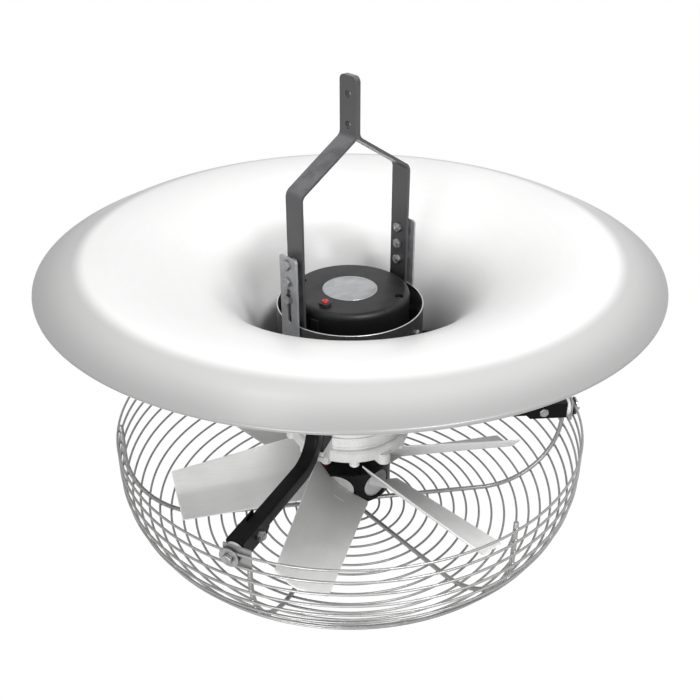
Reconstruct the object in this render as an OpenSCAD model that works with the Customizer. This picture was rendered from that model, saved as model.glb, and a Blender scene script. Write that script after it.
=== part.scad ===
/* [Hanger] */
// Diameter of the two hanging holes
hang_hole_d = 10.5; // [8:0.5:13]
// Distance between the two hanging holes
hang_hole_pitch = 40; // [30:1:50]
// Width of the hanger strips
strip_w = 32; // [28:1:40]
// Thickness of the hanger strips
strip_t = 4; // [3:0.5:6]
// Height of the tab above the upper hanging hole
tab_over = 24; // [15:1:40]
// Drop from the hanging holes' middle to the fork of the two strips
fork_drop = 35; // [32:1:60]
// Drop from the hanging holes' middle to the shoulder of each leg
shoulder_drop = 94; // [80:1:120]
// Gap between the motor cap and each leg
leg_clear = 7; // [5:0.5:9]

/* [Straps] */
// Width of the slotted straps
strap_w = 36; // [32:1:42]
// Thickness of the slotted straps
strap_t = 3; // [2:0.5:4]
// Drop from the hanging holes' middle to the top of the straps
strap_top_drop = 177; // [165:1:180]
// Distance between the strap bolts
strap_bolt_pitch = 25; // [20:1:27]
// Length of the slot in each strap
strap_slot_l = 52; // [30:1:60]

/* [Sleeve] */
// Gap between each leg and the sleeve round the motor
sleeve_gap = 7; // [5:0.5:9]
// Wall of the sleeve
sleeve_t = 2; // [1:0.5:3]
// Drop from the hanging holes' middle to the rim of the sleeve
sleeve_top_drop = 276; // [268:1:282]
// Height of the sleeve
sleeve_h = 136; // [126:1:144]

/* [Motor] */
// Radius of the motor cap
cap_r = 85; // [80:0.5:86]
// Drop from the hanging holes' middle to the top of the cap
cap_top_drop = 256; // [250:1:262]
// Height of the cap
cap_h = 86; // [80:1:96]
// Radius of the rounded shoulder of the cap
cap_round = 9; // [5:1:12]
// Radius of the round label on the cap
label_r = 39; // [30:1:45]
// Step from the cap in to the aluminium housing
housing_step = 5; // [3:0.5:8]
// Height of the housing between the cap and the end shield
housing_h = 118; // [105:1:130]
// Reach of the end shield's flange beyond the housing
flange_over = 10; // [7:0.5:13]
// Thickness of the end shield's flange
flange_t = 19; // [14:1:24]
// Height of the end shield's neck above the flange
neck_h = 19; // [14:1:26]
// Radius of the motor shaft
shaft_r = 12; // [10:0.5:14]

/* [Impeller] */
// Radius to the middle of the blade tips
tip_r = 272; // [240:1:282]
// Chord of the blades at the root
root_chord = 105; // [96:1:108]
// Chord of the blades at the tip
tip_chord = 82; // [70:1:96]
// Pitch of the blades at the root, in degrees
root_pitch = 40; // [36:1:42]
// Pitch of the blades at the tip, in degrees
tip_pitch = 28.5; // [22:0.5:34]
// Depth of the blades' camber
camber = 12; // [8:1:14]
// Thickness of the blade sheet
blade_t = 2.5; // [2:0.5:4]
// Radius of the round hub
hub_r = 63.5; // [62:0.5:68]
// Height of the hub above the blade axis
hub_up = 28; // [27:1:32]
// Height of the hub below the blade axis
hub_down = 26; // [26:1:30]
// Radius of the round blade feet
foot_r = 24; // [20:0.5:24]
// Drop from the end shield's lower face to the blade axis
blade_drop = 71; // [70:1:78]

/* [Guard] */
// Radius of the guard's wall
guard_r = 348; // [330:1:356]
// Drop from the end shield's lower face to the guard's floor
guard_drop = 144; // [136:1:160]
// Radius of the bend between floor and wall
guard_bend_r = 131; // [110:1:140]
// Diameter of the ring wire
ring_d = 3.5; // [3:0.5:4.5]
// Distance from ring to ring
ring_pitch = 20; // [16:0.5:24]
// Least height of the guard's straight wall
guard_wall_least = 36; // [30:1:44]
// Radius of the innermost ring
ring_first_r = 27.5; // [24:0.5:34]
// Diameter of the six ribs
rib_d = 7; // [5:0.5:9]

/* [Arms] */
// Side of the square arm tube
arm_side = 20; // [16:1:22]
// Wall of the arm tube
arm_wall = 2; // [1:0.5:3]
// Bend radius of the arm tube, at its middle
arm_bend_r = 50; // [40:1:60]
// Height of the upright part of the arm tube
arm_up = 88; // [80:1:96]
// Length of the end sleeve on each arm
end_sleeve_l = 64; // [50:1:72]
// Wall of the end sleeve
end_sleeve_t = 2.8; // [2:0.2:4]

/* [Disc] */
// Radius of the flow disc
disc_r = 427; // [400:1:450]
// Wall of the flow disc
disc_t = 4; // [3:0.5:6]
// Drop from the hanging holes' middle to the crown of the disc
crown_drop = 185; // [178:1:190]
// Radius to the crown of the disc
crown_r = 345; // [330:1:355]
// Height of the crown above the disc's edge
crown_h = 24; // [18:1:32]
// Radius at which the crown passes into the funnel
lip_r = 215; // [208:1:222]
// Slope of the funnel's start, in degrees
lip_slope = 29.5; // [26:0.5:33]
// Height of the straight throat under the funnel
throat_h = 36; // [34:1:42]

/* [Hidden] */
$fn = 96;

// clearances
seat_gap = 0.2;
bolt_gap = 0.2;
run_gap = 0.05;
foot_gap = 0.05;
curve_gap = 0.3;

// fasteners: nominal diameter, width across flats, head and nut heights
bolt_d = 8;
bolt_af = 13;
bolt_head_h = 5.3;
nut_h = 6.5;
screw_d = 6;
screw_af = 10;
screw_head_h = 4;
washer_t = 1.6;
washer_r = 8;

// turns about the vertical axis, measured from the right leg
arm_turn = -36;
rib_turn = arm_turn + 4;
blade_turn = -27.5;
ear_turn = arm_turn;
cap_screw_turn = -60.5;
plug_turn = -164.5;
sleeve_screw_turn = -68.5;
drain_turn = ear_turn - 120;
arm_count = 3;
rib_count = 6;
blade_count = 6;
ear_count = 3;
boss_count = 12;
shield_screw_count = 6;

// motor, legs and sleeve, from the cap outwards
housing_r = cap_r - housing_step;
flange_r = housing_r + flange_over;
leg_r = cap_r + leg_clear + strip_t / 2;
sleeve_r = leg_r + strip_t / 2 + sleeve_gap + sleeve_t;

// hanger
tab_round = 8;
strip_bend_r = 12;
leg_in = leg_r - strip_t / 2;
leg_out = leg_r + strip_t / 2;
tab_top = hang_hole_pitch / 2 + tab_over;
cap_bottom = -cap_top_drop - cap_h;
pad_h = 50;
pad_w = 30;
pad_drop = 6;
leg_bottom = cap_bottom - pad_drop - pad_h;

// slotted straps
strap_in = sleeve_r + seat_gap;
strap_out = strap_in + strap_t;
strap_round = 4;
strap_end_over = 14;
strap_bolt_top = strap_top_drop + 10.5;
sleeve_top = -sleeve_top_drop;
sleeve_bottom = sleeve_top - sleeve_h;
strap_low_top = sleeve_top_drop + 24;
strap_drops = [strap_bolt_top, strap_bolt_top + strap_bolt_pitch, strap_bolt_top + 2 * strap_bolt_pitch];
clamp_drops = [strap_low_top, strap_low_top + strap_bolt_pitch];
strap_bottom = -(strap_low_top + strap_bolt_pitch + strap_end_over);
slot_top = strap_bolt_top + 1.4 * strap_bolt_pitch;
slot_d = bolt_d + 2 * bolt_gap;

// motor
housing_bottom = cap_bottom - housing_h;
shield_top = housing_bottom;
flange_bottom = shield_top - flange_t - neck_h;
shield_neck_r = housing_r + 2;
bearing_r = 22;
bearing_h = 14;
bearing_seat = 8;
seal_r = 20;
seal_h = 5;
shaft_bore_r = shaft_r + 3;
shaft_top = cap_bottom - 12;
label_t = 0.8;
fin_count = 36;
fin_depth = 4;
band_h = 24;
fin_top_gap = 7;
fin_w = 5;

// impeller
blade_z = flange_bottom - blade_drop;
hub_top = blade_z + hub_up;
hub_bottom = blade_z - hub_down;
foot_in = foot_r / tan(30) + 3;
foot_out = sqrt(pow(hub_r, 2) - pow(foot_r, 2)) - 0.5;
hub_boss_r = 34;
hub_boss_h = 18;
hub_bolt_r = hub_r - 7;
hub_screw_d = 10;
hub_screw_head = 6.4;
hub_washer_t = 4;
hub_bolt_head_r = 4.2;
hub_bolt_head_h = 5;
hub_bolt_deep = 7;
hub_bolt_d = 5;

// blade sheet: middle of its root and tip, from the axis of its foot
root_mid = [60, 6.7, 16.6];
tip_mid = [tip_r, 14.6, 0.2];
root_skew = 2.2;
tip_skew = 4.4;
root_fold = 0.5;
tip_fold = 0.42;
fold_soft = 0.25;
span_steps = 10;
chord_steps = 10;
web_l = 27;
web_low = 8;

// guard: a path from the axis along the floor, round the bend and up the wall
guard_z = flange_bottom - guard_drop;
floor_r = guard_r - guard_bend_r;
bend_length = guard_bend_r * PI / 2;
ring_count = ceil((floor_r + bend_length + guard_wall_least - ring_first_r) / ring_pitch) + 1;
ring_top = ring_first_r + ring_pitch * (ring_count - 1);
wall_h = ring_top - floor_r - bend_length;
floor_rings = floor((floor_r - ring_first_r) / ring_pitch) + 1;
weld_gap = 0.1;
rib_off = ring_d / 2 + rib_d / 2 + weld_gap;
rib_start = ring_first_r - 5;
rib_over = 9;
function bend_angle(s) = (s - floor_r) / guard_bend_r * 180 / PI;
function guard_point(s) = s < floor_r ? [s, 0]
    : s < floor_r + bend_length
    ? [floor_r + guard_bend_r * sin(bend_angle(s)), guard_bend_r * (1 - cos(bend_angle(s)))]
    : [guard_r, guard_bend_r + s - floor_r - bend_length];

// arms
arm_r = sleeve_r + seat_gap + arm_side / 2;
arm_z = guard_z + guard_bend_r + wall_h - ring_d / 2 - bolt_d / 2 - 1.2;
arm_top = arm_z + arm_bend_r + arm_up;
plate_t = 3;
plate_side = 12;
plate_far = (guard_r - rib_off) * sin(rib_turn - arm_turn) + rib_d / 2 + 1;
plate_up = 15;
plate_down = 19;
plate_out = sqrt(pow(guard_r - ring_d / 2, 2) - pow(plate_far, 2)) - seat_gap;
plate_in = plate_out - plate_t;
rib_plain_h = wall_h + rib_over;
rib_plate_h = arm_z - plate_down - seat_gap - guard_z - guard_bend_r;
end_spacer_t = 6;
end_spacer_r = 14;
end_spacer_bore_r = 6.5;
end_sleeve_side = arm_side + 2 * seat_gap + 2 * end_sleeve_t;
end_sleeve_out = plate_in - 2 * seat_gap - end_spacer_t;
end_sleeve_in = end_sleeve_out - end_sleeve_l;
end_wall = 3;
end_cut_l = 26;
arm_end = end_sleeve_out - end_wall - nut_h - 5;
cross_x = end_sleeve_in + 27;
end_washer_r = 14;
end_washer_t = 2;
end_washer_in = guard_r + ring_d / 2 + seat_gap;

// flow disc
throat_r = sqrt(pow(arm_r + arm_side / 2, 2) + pow(arm_side / 2, 2)) + curve_gap;
crown_z = -crown_drop;
edge_z = crown_z - crown_h;
lip_z = crown_z - tan(lip_slope) * (crown_r - lip_r) / 2;
funnel_r = (lip_r - throat_r) / (1 - sin(lip_slope));
funnel_z = lip_z - funnel_r * cos(lip_slope);
throat_z = funnel_z - throat_h;
arm_bolt_pitch = 18;
arm_bolt_zs = [for (s = [-1, 1]) throat_z + throat_h / 2 + s * arm_bolt_pitch / 2];

// band along a path in a plane, with mitred corners
function unit(v) = v / norm(v);
function turn_left(v) = [-v[1], v[0]];
function side_dir(p, i) = let (n = len(p),
    a = turn_left(unit(p[max(i, 1)] - p[max(i, 1) - 1])),
    b = turn_left(unit(p[min(i + 1, n - 1)] - p[min(i, n - 2)])))
    (a + b) / (1 + a * b);
function offset_path(p, d) = [for (i = [0:len(p) - 1]) p[i] + d * side_dir(p, i)];
function reversed(p) = [for (i = [len(p) - 1:-1:0]) p[i]];
function band(p, t) = concat(offset_path(p, t / 2), reversed(offset_path(p, -t / 2)));
function arc(c, r, a0, a1, n) = [for (i = [0:n]) c + r * [cos(a0 + (a1 - a0) * i / n), sin(a0 + (a1 - a0) * i / n)]];

function bend_back(p, i, r) = let (a = unit(p[i - 1] - p[i]), b = unit(p[i + 1] - p[i]), half = acos(a * b) / 2)
    [p[i] + a * r / tan(half), p[i] + unit(a + b) * r / sin(half), p[i] + b * r / tan(half)];
function bend_arc(p, i, r, n) = let (q = bend_back(p, i, r), u = q[0] - q[1], v = q[2] - q[1],
    turn = atan2(u[0] * v[1] - u[1] * v[0], u * v))
    [for (k = [0:n]) q[1] + [u[0] * cos(turn * k / n) - u[1] * sin(turn * k / n),
                             u[0] * sin(turn * k / n) + u[1] * cos(turn * k / n)]];
function rounded(p, r, n) = concat([p[0]], [for (i = [1:len(p) - 2], q = bend_arc(p, i, r, n)) q], [p[len(p) - 1]]);

// stands a profile drawn in X and Z on its edge, with a width along Y
module upright(w) {
    rotate([90, 0, 0]) linear_extrude(w, center = true) children();
}

// fasteners: axis along X, the seat of the head at x = 0 and the head on the +X side
module x_bolt(l, d = bolt_d, af = bolt_af, head = bolt_head_h) {
    rotate([0, 90, 0]) {
        translate([0, 0, -l]) cylinder(d = d, h = l, $fn = 32);
        cylinder(d = af / cos(30), h = head, $fn = 6);
    }
}
module x_nut(d = bolt_d, af = bolt_af, h = nut_h) {
    rotate([0, 90, 0]) difference() {
        cylinder(d = af / cos(30), h = h, $fn = 6);
        translate([0, 0, -1]) cylinder(d = d + 2 * run_gap, h = h + 2, $fn = 32);
    }
}
module x_hole(x0, x1, d) {
    translate([x0, 0, 0]) rotate([0, 90, 0]) cylinder(d = d, h = x1 - x0, $fn = 32);
}
module ring_tube(r_in, r_out, z0, z1) {
    rotate_extrude() translate([r_in, z0]) square([r_out - r_in, z1 - z0]);
}
module both_legs() {
    for (a = [0, 180]) rotate([0, 0, a]) children();
}
module each_arm() {
    for (i = [0:arm_count - 1]) rotate([0, 0, arm_turn + 360 / arm_count * i]) children();
}

// hanger strips: a tab, a slanting shoulder and an upright leg, folded from one flat bar
module strip_outline() {
    square_bottom = leg_bottom - 1;
    translate([-strip_w / 2, square_bottom]) square([strip_w, tab_top - tab_round - square_bottom]);
    for (s = [-1, 1]) translate([s * (strip_w / 2 - tab_round), tab_top - tab_round]) circle(r = tab_round, $fn = 32);
    translate([tab_round - strip_w / 2, square_bottom]) square([strip_w - 2 * tab_round, tab_top - square_bottom]);
}
module hanger_strip() {
    path = [[strip_t / 2, tab_top], [strip_t / 2, -fork_drop], [leg_r, -shoulder_drop], [leg_r, leg_bottom]];
    difference() {
        intersection() {
            upright(strip_w + 2) polygon(band(rounded(path, strip_bend_r, 8), strip_t));
            translate([-1, 0, 0]) rotate([90, 0, 90]) linear_extrude(leg_out + 2) strip_outline();
        }
        for (s = [-1, 1]) translate([0, 0, s * hang_hole_pitch / 2]) x_hole(-1, strip_t + 1, hang_hole_d);
        for (z = concat(strap_drops, clamp_drops)) translate([0, 0, -z]) x_hole(leg_in - 1, leg_out + 1, slot_d);
        for (z = leg_bolt_zs) translate([0, 0, z]) x_hole(leg_in - 1, leg_out + 1, slot_d);
    }
}
leg_bolt_zs = [leg_bottom + 12, leg_bottom + pad_h - 12];
module hanger_strip_right() { color("dimgray") hanger_strip(); }
module hanger_strip_left() { color("dimgray") rotate([0, 0, 180]) hanger_strip(); }

// slotted straps outside the sleeve, with one bolt in the slot
module strap_outline() {
    h = -strap_top_drop - strap_bottom;
    for (s = [-1, 1], z = [strap_bottom + strap_round, -strap_top_drop - strap_round])
        translate([s * (strap_w / 2 - strap_round), z]) circle(r = strap_round, $fn = 24);
    translate([strap_round - strap_w / 2, strap_bottom]) square([strap_w - 2 * strap_round, h]);
    translate([-strap_w / 2, strap_bottom + strap_round]) square([strap_w, h - 2 * strap_round]);
}
module slotted_strap() {
    difference() {
        translate([strap_in, 0, 0]) rotate([90, 0, 90]) linear_extrude(strap_t) strap_outline();
        for (z = [strap_drops[0], strap_drops[1], clamp_drops[0], clamp_drops[1]])
            translate([0, 0, -z]) x_hole(strap_in - 1, strap_out + 1, slot_d);
        translate([strap_in - 1, -slot_d / 2, -slot_top - strap_slot_l + slot_d / 2])
            cube([strap_t + 2, slot_d, strap_slot_l - slot_d]);
        for (z = [slot_top + slot_d / 2, slot_top + strap_slot_l - slot_d / 2])
            translate([0, 0, -z]) x_hole(strap_in - 1, strap_out + 1, slot_d);
    }
}
module slotted_strap_right() { color("silver") slotted_strap(); }
module slotted_strap_left() { color("silver") rotate([0, 0, 180]) slotted_strap(); }
module strap_bolts() {
    color("lightgray") both_legs() for (z = concat(strap_drops, clamp_drops))
        translate([strap_out + seat_gap, 0, -z]) x_bolt(strap_out + seat_gap - leg_in + strap_nut_h + seat_gap);
}
strap_nut_h = 4.6;
module strap_nuts() {
    color("lightgray") both_legs() for (z = concat(strap_drops, clamp_drops))
        translate([leg_in - seat_gap - strap_nut_h, 0, -z]) x_nut(h = strap_nut_h);
}
module strap_spacers() {
    color("gray") both_legs() {
        for (z = strap_drops) translate([leg_out + seat_gap, 0, -z])
            spacer_tube(strap_in - leg_out - 2 * seat_gap);
        for (z = clamp_drops) translate([leg_out + seat_gap, 0, -z])
            spacer_tube(sqrt(pow(sleeve_r - sleeve_t, 2) - pow(spacer_r, 2)) - leg_out - 2 * seat_gap);
    }
}
spacer_r = 7;
module spacer_tube(l) {
    rotate([0, 90, 0]) difference() {
        cylinder(r = spacer_r, h = l, $fn = 32);
        translate([0, 0, -1]) cylinder(d = slot_d, h = l + 2, $fn = 32);
    }
}
leg_bolt_deep = 8;
leg_hole_deep = 10;
module leg_bolts() {
    color("lightgray") both_legs() for (z = leg_bolt_zs)
        translate([leg_out + seat_gap, 0, z]) x_bolt(leg_out + seat_gap - housing_r + leg_bolt_deep);
}

// sleeve round the motor
module sleeve() {
    color("dimgray") difference() {
        ring_tube(sleeve_r - sleeve_t, sleeve_r, sleeve_bottom, sleeve_top);
        both_legs() for (z = clamp_drops) translate([0, 0, -z]) x_hole(leg_in, strap_out, slot_d);
        each_arm() for (z = arm_bolt_zs) translate([0, 0, z]) x_hole(leg_in, strap_out, slot_d);
        sleeve_screw_places() x_hole(leg_in, strap_out, screw_d + 2 * bolt_gap);
    }
}
module sleeve_screw_places() {
    for (a = [0, 180]) rotate([0, 0, sleeve_screw_turn + a]) translate([0, 0, -sleeve_screw_drop]) children();
}
sleeve_screw_drop = sleeve_top_drop + 26;
module sleeve_screws() {
    color("lightgray") sleeve_screw_places() {
        l = sleeve_t + 2 * curve_gap;
        translate([sleeve_r + curve_gap, 0, 0]) x_bolt(l + screw_head_h, screw_d, screw_af, screw_head_h);
        translate([sleeve_r - sleeve_t - curve_gap - screw_head_h, 0, 0]) rotate([0, 90, 0])
            cylinder(d = screw_af / cos(30), h = screw_head_h, $fn = 6);
    }
}

// motor cap with a rounded shoulder, a shallow seat for the label and a rib under the plug
plug_in = 24;
plug_r = cap_r - plug_in;
collar_r = 8.5;
collar_h = 5;
plug_cap_r = 5;
cap_screw_in = 12;
cap_screw_r = cap_r - cap_screw_in;
cap_recess_r = 6;
cap_recess_h = 7;
cap_skirt_step = 1.5;
cap_rib_w = 12;
module cap_profile() {
    top = -cap_top_drop;
    polygon(concat([[0, cap_bottom], [cap_r - cap_skirt_step, cap_bottom],
                    [cap_r - cap_skirt_step, cap_bottom + 20], [cap_r, cap_bottom + 20 + cap_skirt_step]],
                   arc([cap_r - cap_round, top - cap_round], cap_round, 0, 90, 8), [[0, top]]));
}
module motor_cap() {
    color("#222222") difference() {
        union() {
            rotate_extrude() cap_profile();
            rotate([0, 0, plug_turn]) translate([cap_r - 4, -cap_rib_w / 2, cap_bottom + 26])
                cube([7, cap_rib_w, cap_h - 26 - cap_round - 4]);
        }
        translate([0, 0, -cap_top_drop - label_t]) cylinder(r = label_r + seat_gap, h = label_t + 1);
        for (a = [0, 180]) rotate([0, 0, cap_screw_turn + a]) translate([cap_screw_r, 0, -cap_top_drop - cap_recess_h])
            cylinder(r = cap_recess_r, h = cap_recess_h + 1, $fn = 32);
        rotate([0, 0, plug_turn]) translate([plug_r, 0, -cap_top_drop - collar_h])
            cylinder(r = collar_r + seat_gap, h = collar_h + 1, $fn = 48);
    }
}
module cap_screws() {
    color("silver") for (a = [0, 180]) rotate([0, 0, cap_screw_turn + a])
        translate([cap_screw_r, 0, -cap_top_drop - cap_recess_h + seat_gap]) cylinder(r = 4.5, h = 3.6, $fn = 32);
}
module cap_label() {
    color("silver") translate([0, 0, -cap_top_drop - label_t + 0.1]) cylinder(r = label_r, h = label_t);
}
module plug_collar() {
    color("#181818") rotate([0, 0, plug_turn]) translate([plug_r, 0, -cap_top_drop - collar_h + seat_gap]) difference() {
        cylinder(r = collar_r, h = collar_h + 4, $fn = 48);
        translate([0, 0, 2]) cylinder(r = plug_cap_r + seat_gap, h = collar_h + 4, $fn = 48);
    }
}
module cable_plug() {
    color("red") rotate([0, 0, plug_turn]) translate([plug_r, 0, -cap_top_drop - collar_h + 2 + 2 * seat_gap])
        rotate_extrude($fn = 48) polygon(concat([[0, 0], [plug_cap_r, 0]],
            arc([plug_cap_r - 2, collar_h + 2], 2, 0, 90, 5), [[0, collar_h + 4]]));
}

// aluminium housing: a finned barrel with a pad for each leg
shield_screw_in = 10;
shield_screw_r = housing_r - shield_screw_in;
shield_screw_deep = 14;
module motor_housing() {
    color("lightgray") difference() {
        union() {
            translate([0, 0, housing_bottom]) cylinder(r = housing_r - fin_depth, h = housing_h);
            for (i = [0:fin_count - 1]) rotate([0, 0, 360 / fin_count * (i + 0.5)])
                translate([housing_r - 12, -fin_w / 2, housing_bottom + band_h - 1])
                    cube([11, fin_w, housing_h - band_h - fin_top_gap]);
            translate([0, 0, housing_bottom]) cylinder(r = housing_r, h = band_h);
            both_legs() translate([housing_r - 12, -pad_w / 2, leg_bottom])
                cube([leg_in - seat_gap - housing_r + 12, pad_w, pad_h]);
        }
        translate([0, 0, housing_bottom - 1]) cylinder(r = shaft_bore_r, h = shaft_top + 6 - housing_bottom);
        translate([0, 0, shaft_top + 4 - bearing_h]) cylinder(r = bearing_r + run_gap, h = bearing_h + 10);
        both_legs() for (z = leg_bolt_zs) translate([0, 0, z]) x_hole(housing_r - leg_hole_deep, leg_out, slot_d);
        shield_screws_at() translate([0, 0, housing_bottom - 1])
            cylinder(d = screw_d + 2 * bolt_gap, h = shield_screw_deep + 1, $fn = 32);
    }
}
module shield_screws_at() {
    for (i = [0:shield_screw_count - 1]) rotate([0, 0, ear_turn + 15 + 360 / shield_screw_count * i])
        translate([shield_screw_r, 0, 0]) children();
}

// end shield: neck, groove, flange with rounded ears, a row of bosses under its edge,
// and a lug that carries each arm's web
boss_r = 7.5;
boss_h = 7.5;
boss_at = flange_r - boss_r - 0.5;
ear_r = 10;
ear_in = 2;
ear_at = flange_r - ear_in;
ear_up = 10;
lug_w = 20;
lug_over = 6;
lug_step_in = 7;
lug_foot_in = 14;
lug_out = sleeve_r + lug_over;
lug_step = lug_out - lug_step_in;
lug_foot = lug_out - lug_foot_in;
lug_rise_in = 37;
lug_rise_out = 30;
lug_slot_rise = 21;
lug_slot_h = 1.6;
lug_slot_l = 20;
lug_slot_back = 7;
lug_under_foot = 10;
lug_under_step = 4;
lug_under_out = 2;
lug_root = 16;
lug_top_in = flange_bottom + lug_rise_in;
lug_top_out = flange_bottom + lug_rise_out;
lug_slot_z = flange_bottom + lug_slot_rise;
neck_groove = 1.2;
module end_shield() {
    top = shield_top - seat_gap;
    neck_z = flange_bottom + flange_t;
    color("gainsboro") difference() {
        union() {
            rotate_extrude() polygon([[0, neck_z - 1], [shield_neck_r, neck_z - 1],
                [shield_neck_r, neck_z + 3], [shield_neck_r - neck_groove, neck_z + 3.6],
                [shield_neck_r - neck_groove, neck_z + 5.4], [shield_neck_r, neck_z + 6],
                [shield_neck_r, top], [0, top]]);
            rotate_extrude() polygon([[0, flange_bottom], [flange_r - 2, flange_bottom], [flange_r, flange_bottom + 2],
                                      [flange_r, neck_z - 3], [flange_r - 3, neck_z], [0, neck_z]]);
            for (i = [0:ear_count - 1]) rotate([0, 0, ear_turn + 60 + 360 / ear_count * i])
                translate([0, 0, flange_bottom - boss_h]) {
                    translate([ear_at, 0, 0]) cylinder(r = ear_r, h = boss_h + ear_up, $fn = 48);
                    translate([ear_at - 14, -ear_r, 0]) cube([14, 2 * ear_r, boss_h + ear_up]);
                }
            for (i = [0:boss_count - 1]) if (i % 4 != 2) rotate([0, 0, ear_turn + 360 / boss_count * i])
                translate([boss_at, 0, flange_bottom - boss_h]) cylinder(r = boss_r, h = boss_h + 2, $fn = 32);
            each_arm() upright(lug_w) polygon([[ear_at - lug_root, flange_bottom + 1], [lug_foot, flange_bottom + 1],
                [lug_foot, lug_slot_z - lug_under_foot], [lug_step, lug_slot_z - lug_under_step],
                [lug_out, lug_slot_z - lug_under_out], [lug_out, lug_top_out], [shield_neck_r, lug_top_in],
                [ear_at - lug_root, lug_top_in]]);
        }
        translate([0, 0, flange_bottom - 1]) cylinder(r = shaft_bore_r, h = top - flange_bottom + 2);
        translate([0, 0, flange_bottom + seal_h + bearing_seat]) cylinder(r = bearing_r + run_gap, h = top - flange_bottom);
        translate([0, 0, flange_bottom - 1]) cylinder(r = seal_r + run_gap, h = seal_h + 1);
        shield_screws_at() translate([0, 0, flange_bottom - 1])
            cylinder(d = screw_d + 2 * bolt_gap, h = top - flange_bottom + 2, $fn = 32);
        each_arm() translate([lug_step - lug_slot_back, -lug_w, lug_slot_z]) cube([lug_slot_l, 2 * lug_w, lug_slot_h]);
        rotate([0, 0, drain_turn]) translate([boss_at, 0, flange_bottom - boss_h - 1])
            cylinder(r = drain_plug_r + seat_gap, h = 7, $fn = 32);
    }
}
drain_plug_r = 4;
drain_plug_out = 5.5;
module drain_plug() {
    color("red") rotate([0, 0, drain_turn]) translate([boss_at, 0, flange_bottom - boss_h - drain_plug_out])
        cylinder(r = drain_plug_r, h = drain_plug_out + 5.8, $fn = 32);
}
module shield_screws() {
    color("silver") shield_screws_at() translate([0, 0, flange_bottom - seat_gap - screw_head_h]) {
        cylinder(d = screw_af / cos(30), h = screw_head_h, $fn = 6);
        cylinder(d = screw_d, h = screw_head_h + seat_gap + housing_bottom - flange_bottom + shield_screw_deep - 1, $fn = 32);
    }
}
module bearing(z) {
    difference() {
        translate([0, 0, z]) cylinder(r = bearing_r, h = bearing_h);
        translate([0, 0, z - 1]) cylinder(r = shaft_r + run_gap, h = bearing_h + 2);
    }
}
module bearing_upper() { color("silver") bearing(shaft_top + 4 - bearing_h + seat_gap); }
module bearing_lower() { color("silver") bearing(flange_bottom + seal_h + bearing_seat + seat_gap); }
module shaft_seal() {
    color("#222222") ring_tube(shaft_r + run_gap, seal_r, flange_bottom - 2, flange_bottom + seal_h - seat_gap);
}

// flow disc: edge bead, crown, lip, funnel and throat, one thin wall of revolution
function edge_arc(n) = [for (i = [0:n]) let (u = 90 * i / n)
    [crown_r + (disc_r - crown_r) * cos(u), edge_z + crown_h * sin(u)]];
function lip_curve(n) = [for (i = [1:n]) let (r = crown_r + (lip_r - crown_r) * i / n)
    [r, crown_z - tan(lip_slope) * pow(crown_r - r, 2) / (2 * (crown_r - lip_r))]];
function funnel_arc(n) = [for (i = [1:n]) let (a = lip_slope + (90 - lip_slope) * i / n)
    [lip_r - funnel_r * (sin(a) - sin(lip_slope)), lip_z - funnel_r * (cos(lip_slope) - cos(a))]];
disc_path = concat(edge_arc(18), lip_curve(10), funnel_arc(14), [[throat_r, throat_z]]);
module flow_disc() {
    color("white") difference() {
        rotate_extrude($fn = 180) {
            polygon(concat(disc_path, reversed(offset_path(disc_path, disc_t))));
            translate([disc_r - disc_t / 2, edge_z]) circle(d = disc_t, $fn = 24);
        }
        each_arm() for (z = arm_bolt_zs) translate([0, 0, z]) x_hole(arm_r, throat_r + disc_t + 8, slot_d);
    }
}

// support arms: a square tube bolted to the sleeve, bent out to the guard's rim
arm_mid = concat([[arm_r, arm_top]], arc([arm_r + arm_bend_r, arm_z + arm_bend_r], arm_bend_r, 180, 270, 10),
                 [[arm_end, arm_z]]);
arm_bore = concat([[arm_r, arm_top + 1]], arc([arm_r + arm_bend_r, arm_z + arm_bend_r], arm_bend_r, 180, 270, 10),
                  [[arm_end + 1, arm_z]]);
module arm() {
    difference() {
        upright(arm_side) polygon(band(arm_mid, arm_side));
        upright(arm_side - 2 * arm_wall) polygon(band(arm_bore, arm_side - 2 * arm_wall));
        for (z = arm_bolt_zs) translate([0, 0, z]) x_hole(sleeve_r - 2, throat_r + 2, slot_d);
        translate([cross_x, arm_side, arm_z]) rotate([90, 0, 0]) cylinder(d = slot_d, h = 2 * arm_side, $fn = 32);
    }
}
module arm_at(i) {
    rotate([0, 0, arm_turn + 360 / arm_count * i]) children();
}
module arm_1() { color("#1c1c1c") arm_at(0) arm(); }
module arm_2() { color("#1c1c1c") arm_at(1) arm(); }
module arm_3() { color("#1c1c1c") arm_at(2) arm(); }

// black webs between each arm and the end shield's lug
web_under_bend = 3;
web_top = arm_z + arm_bend_r - web_under_bend;
web_in = shield_neck_r + seat_gap;
web_face_r = arm_bend_r + arm_side / 2 + seat_gap;
web_face_c = [arm_r + arm_bend_r, arm_z + arm_bend_r];
web_turn = 32;
function lug_top(r) = lug_top_in + (lug_top_out - lug_top_in) * (r - shield_neck_r) / (lug_out - shield_neck_r);
module arm_web() {
    start = asin((web_face_c[1] - web_top) / web_face_r);
    upright(arm_side) polygon(concat([[web_in, lug_top(web_in) + seat_gap], [web_in, web_top]],
        arc(web_face_c, web_face_r, 180 + start, 180 + web_turn, 8), [[lug_out, lug_top_out + seat_gap]]));
}
module arm_webs() { color("#181818") each_arm() arm_web(); }
arm_bolt_seat = throat_r + disc_t + curve_gap;
arm_nut_seat = sqrt(pow(sleeve_r - sleeve_t, 2) - pow(bolt_af / cos(30) / 2, 2)) - seat_gap;
module arm_bolts() {
    color("lightgray") each_arm() for (z = arm_bolt_zs) translate([arm_bolt_seat, 0, z])
        x_bolt(arm_bolt_seat - arm_nut_seat + nut_h);
}
module arm_nuts() {
    color("lightgray") each_arm() for (z = arm_bolt_zs) translate([arm_nut_seat - nut_h, 0, z]) x_nut();
}

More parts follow.
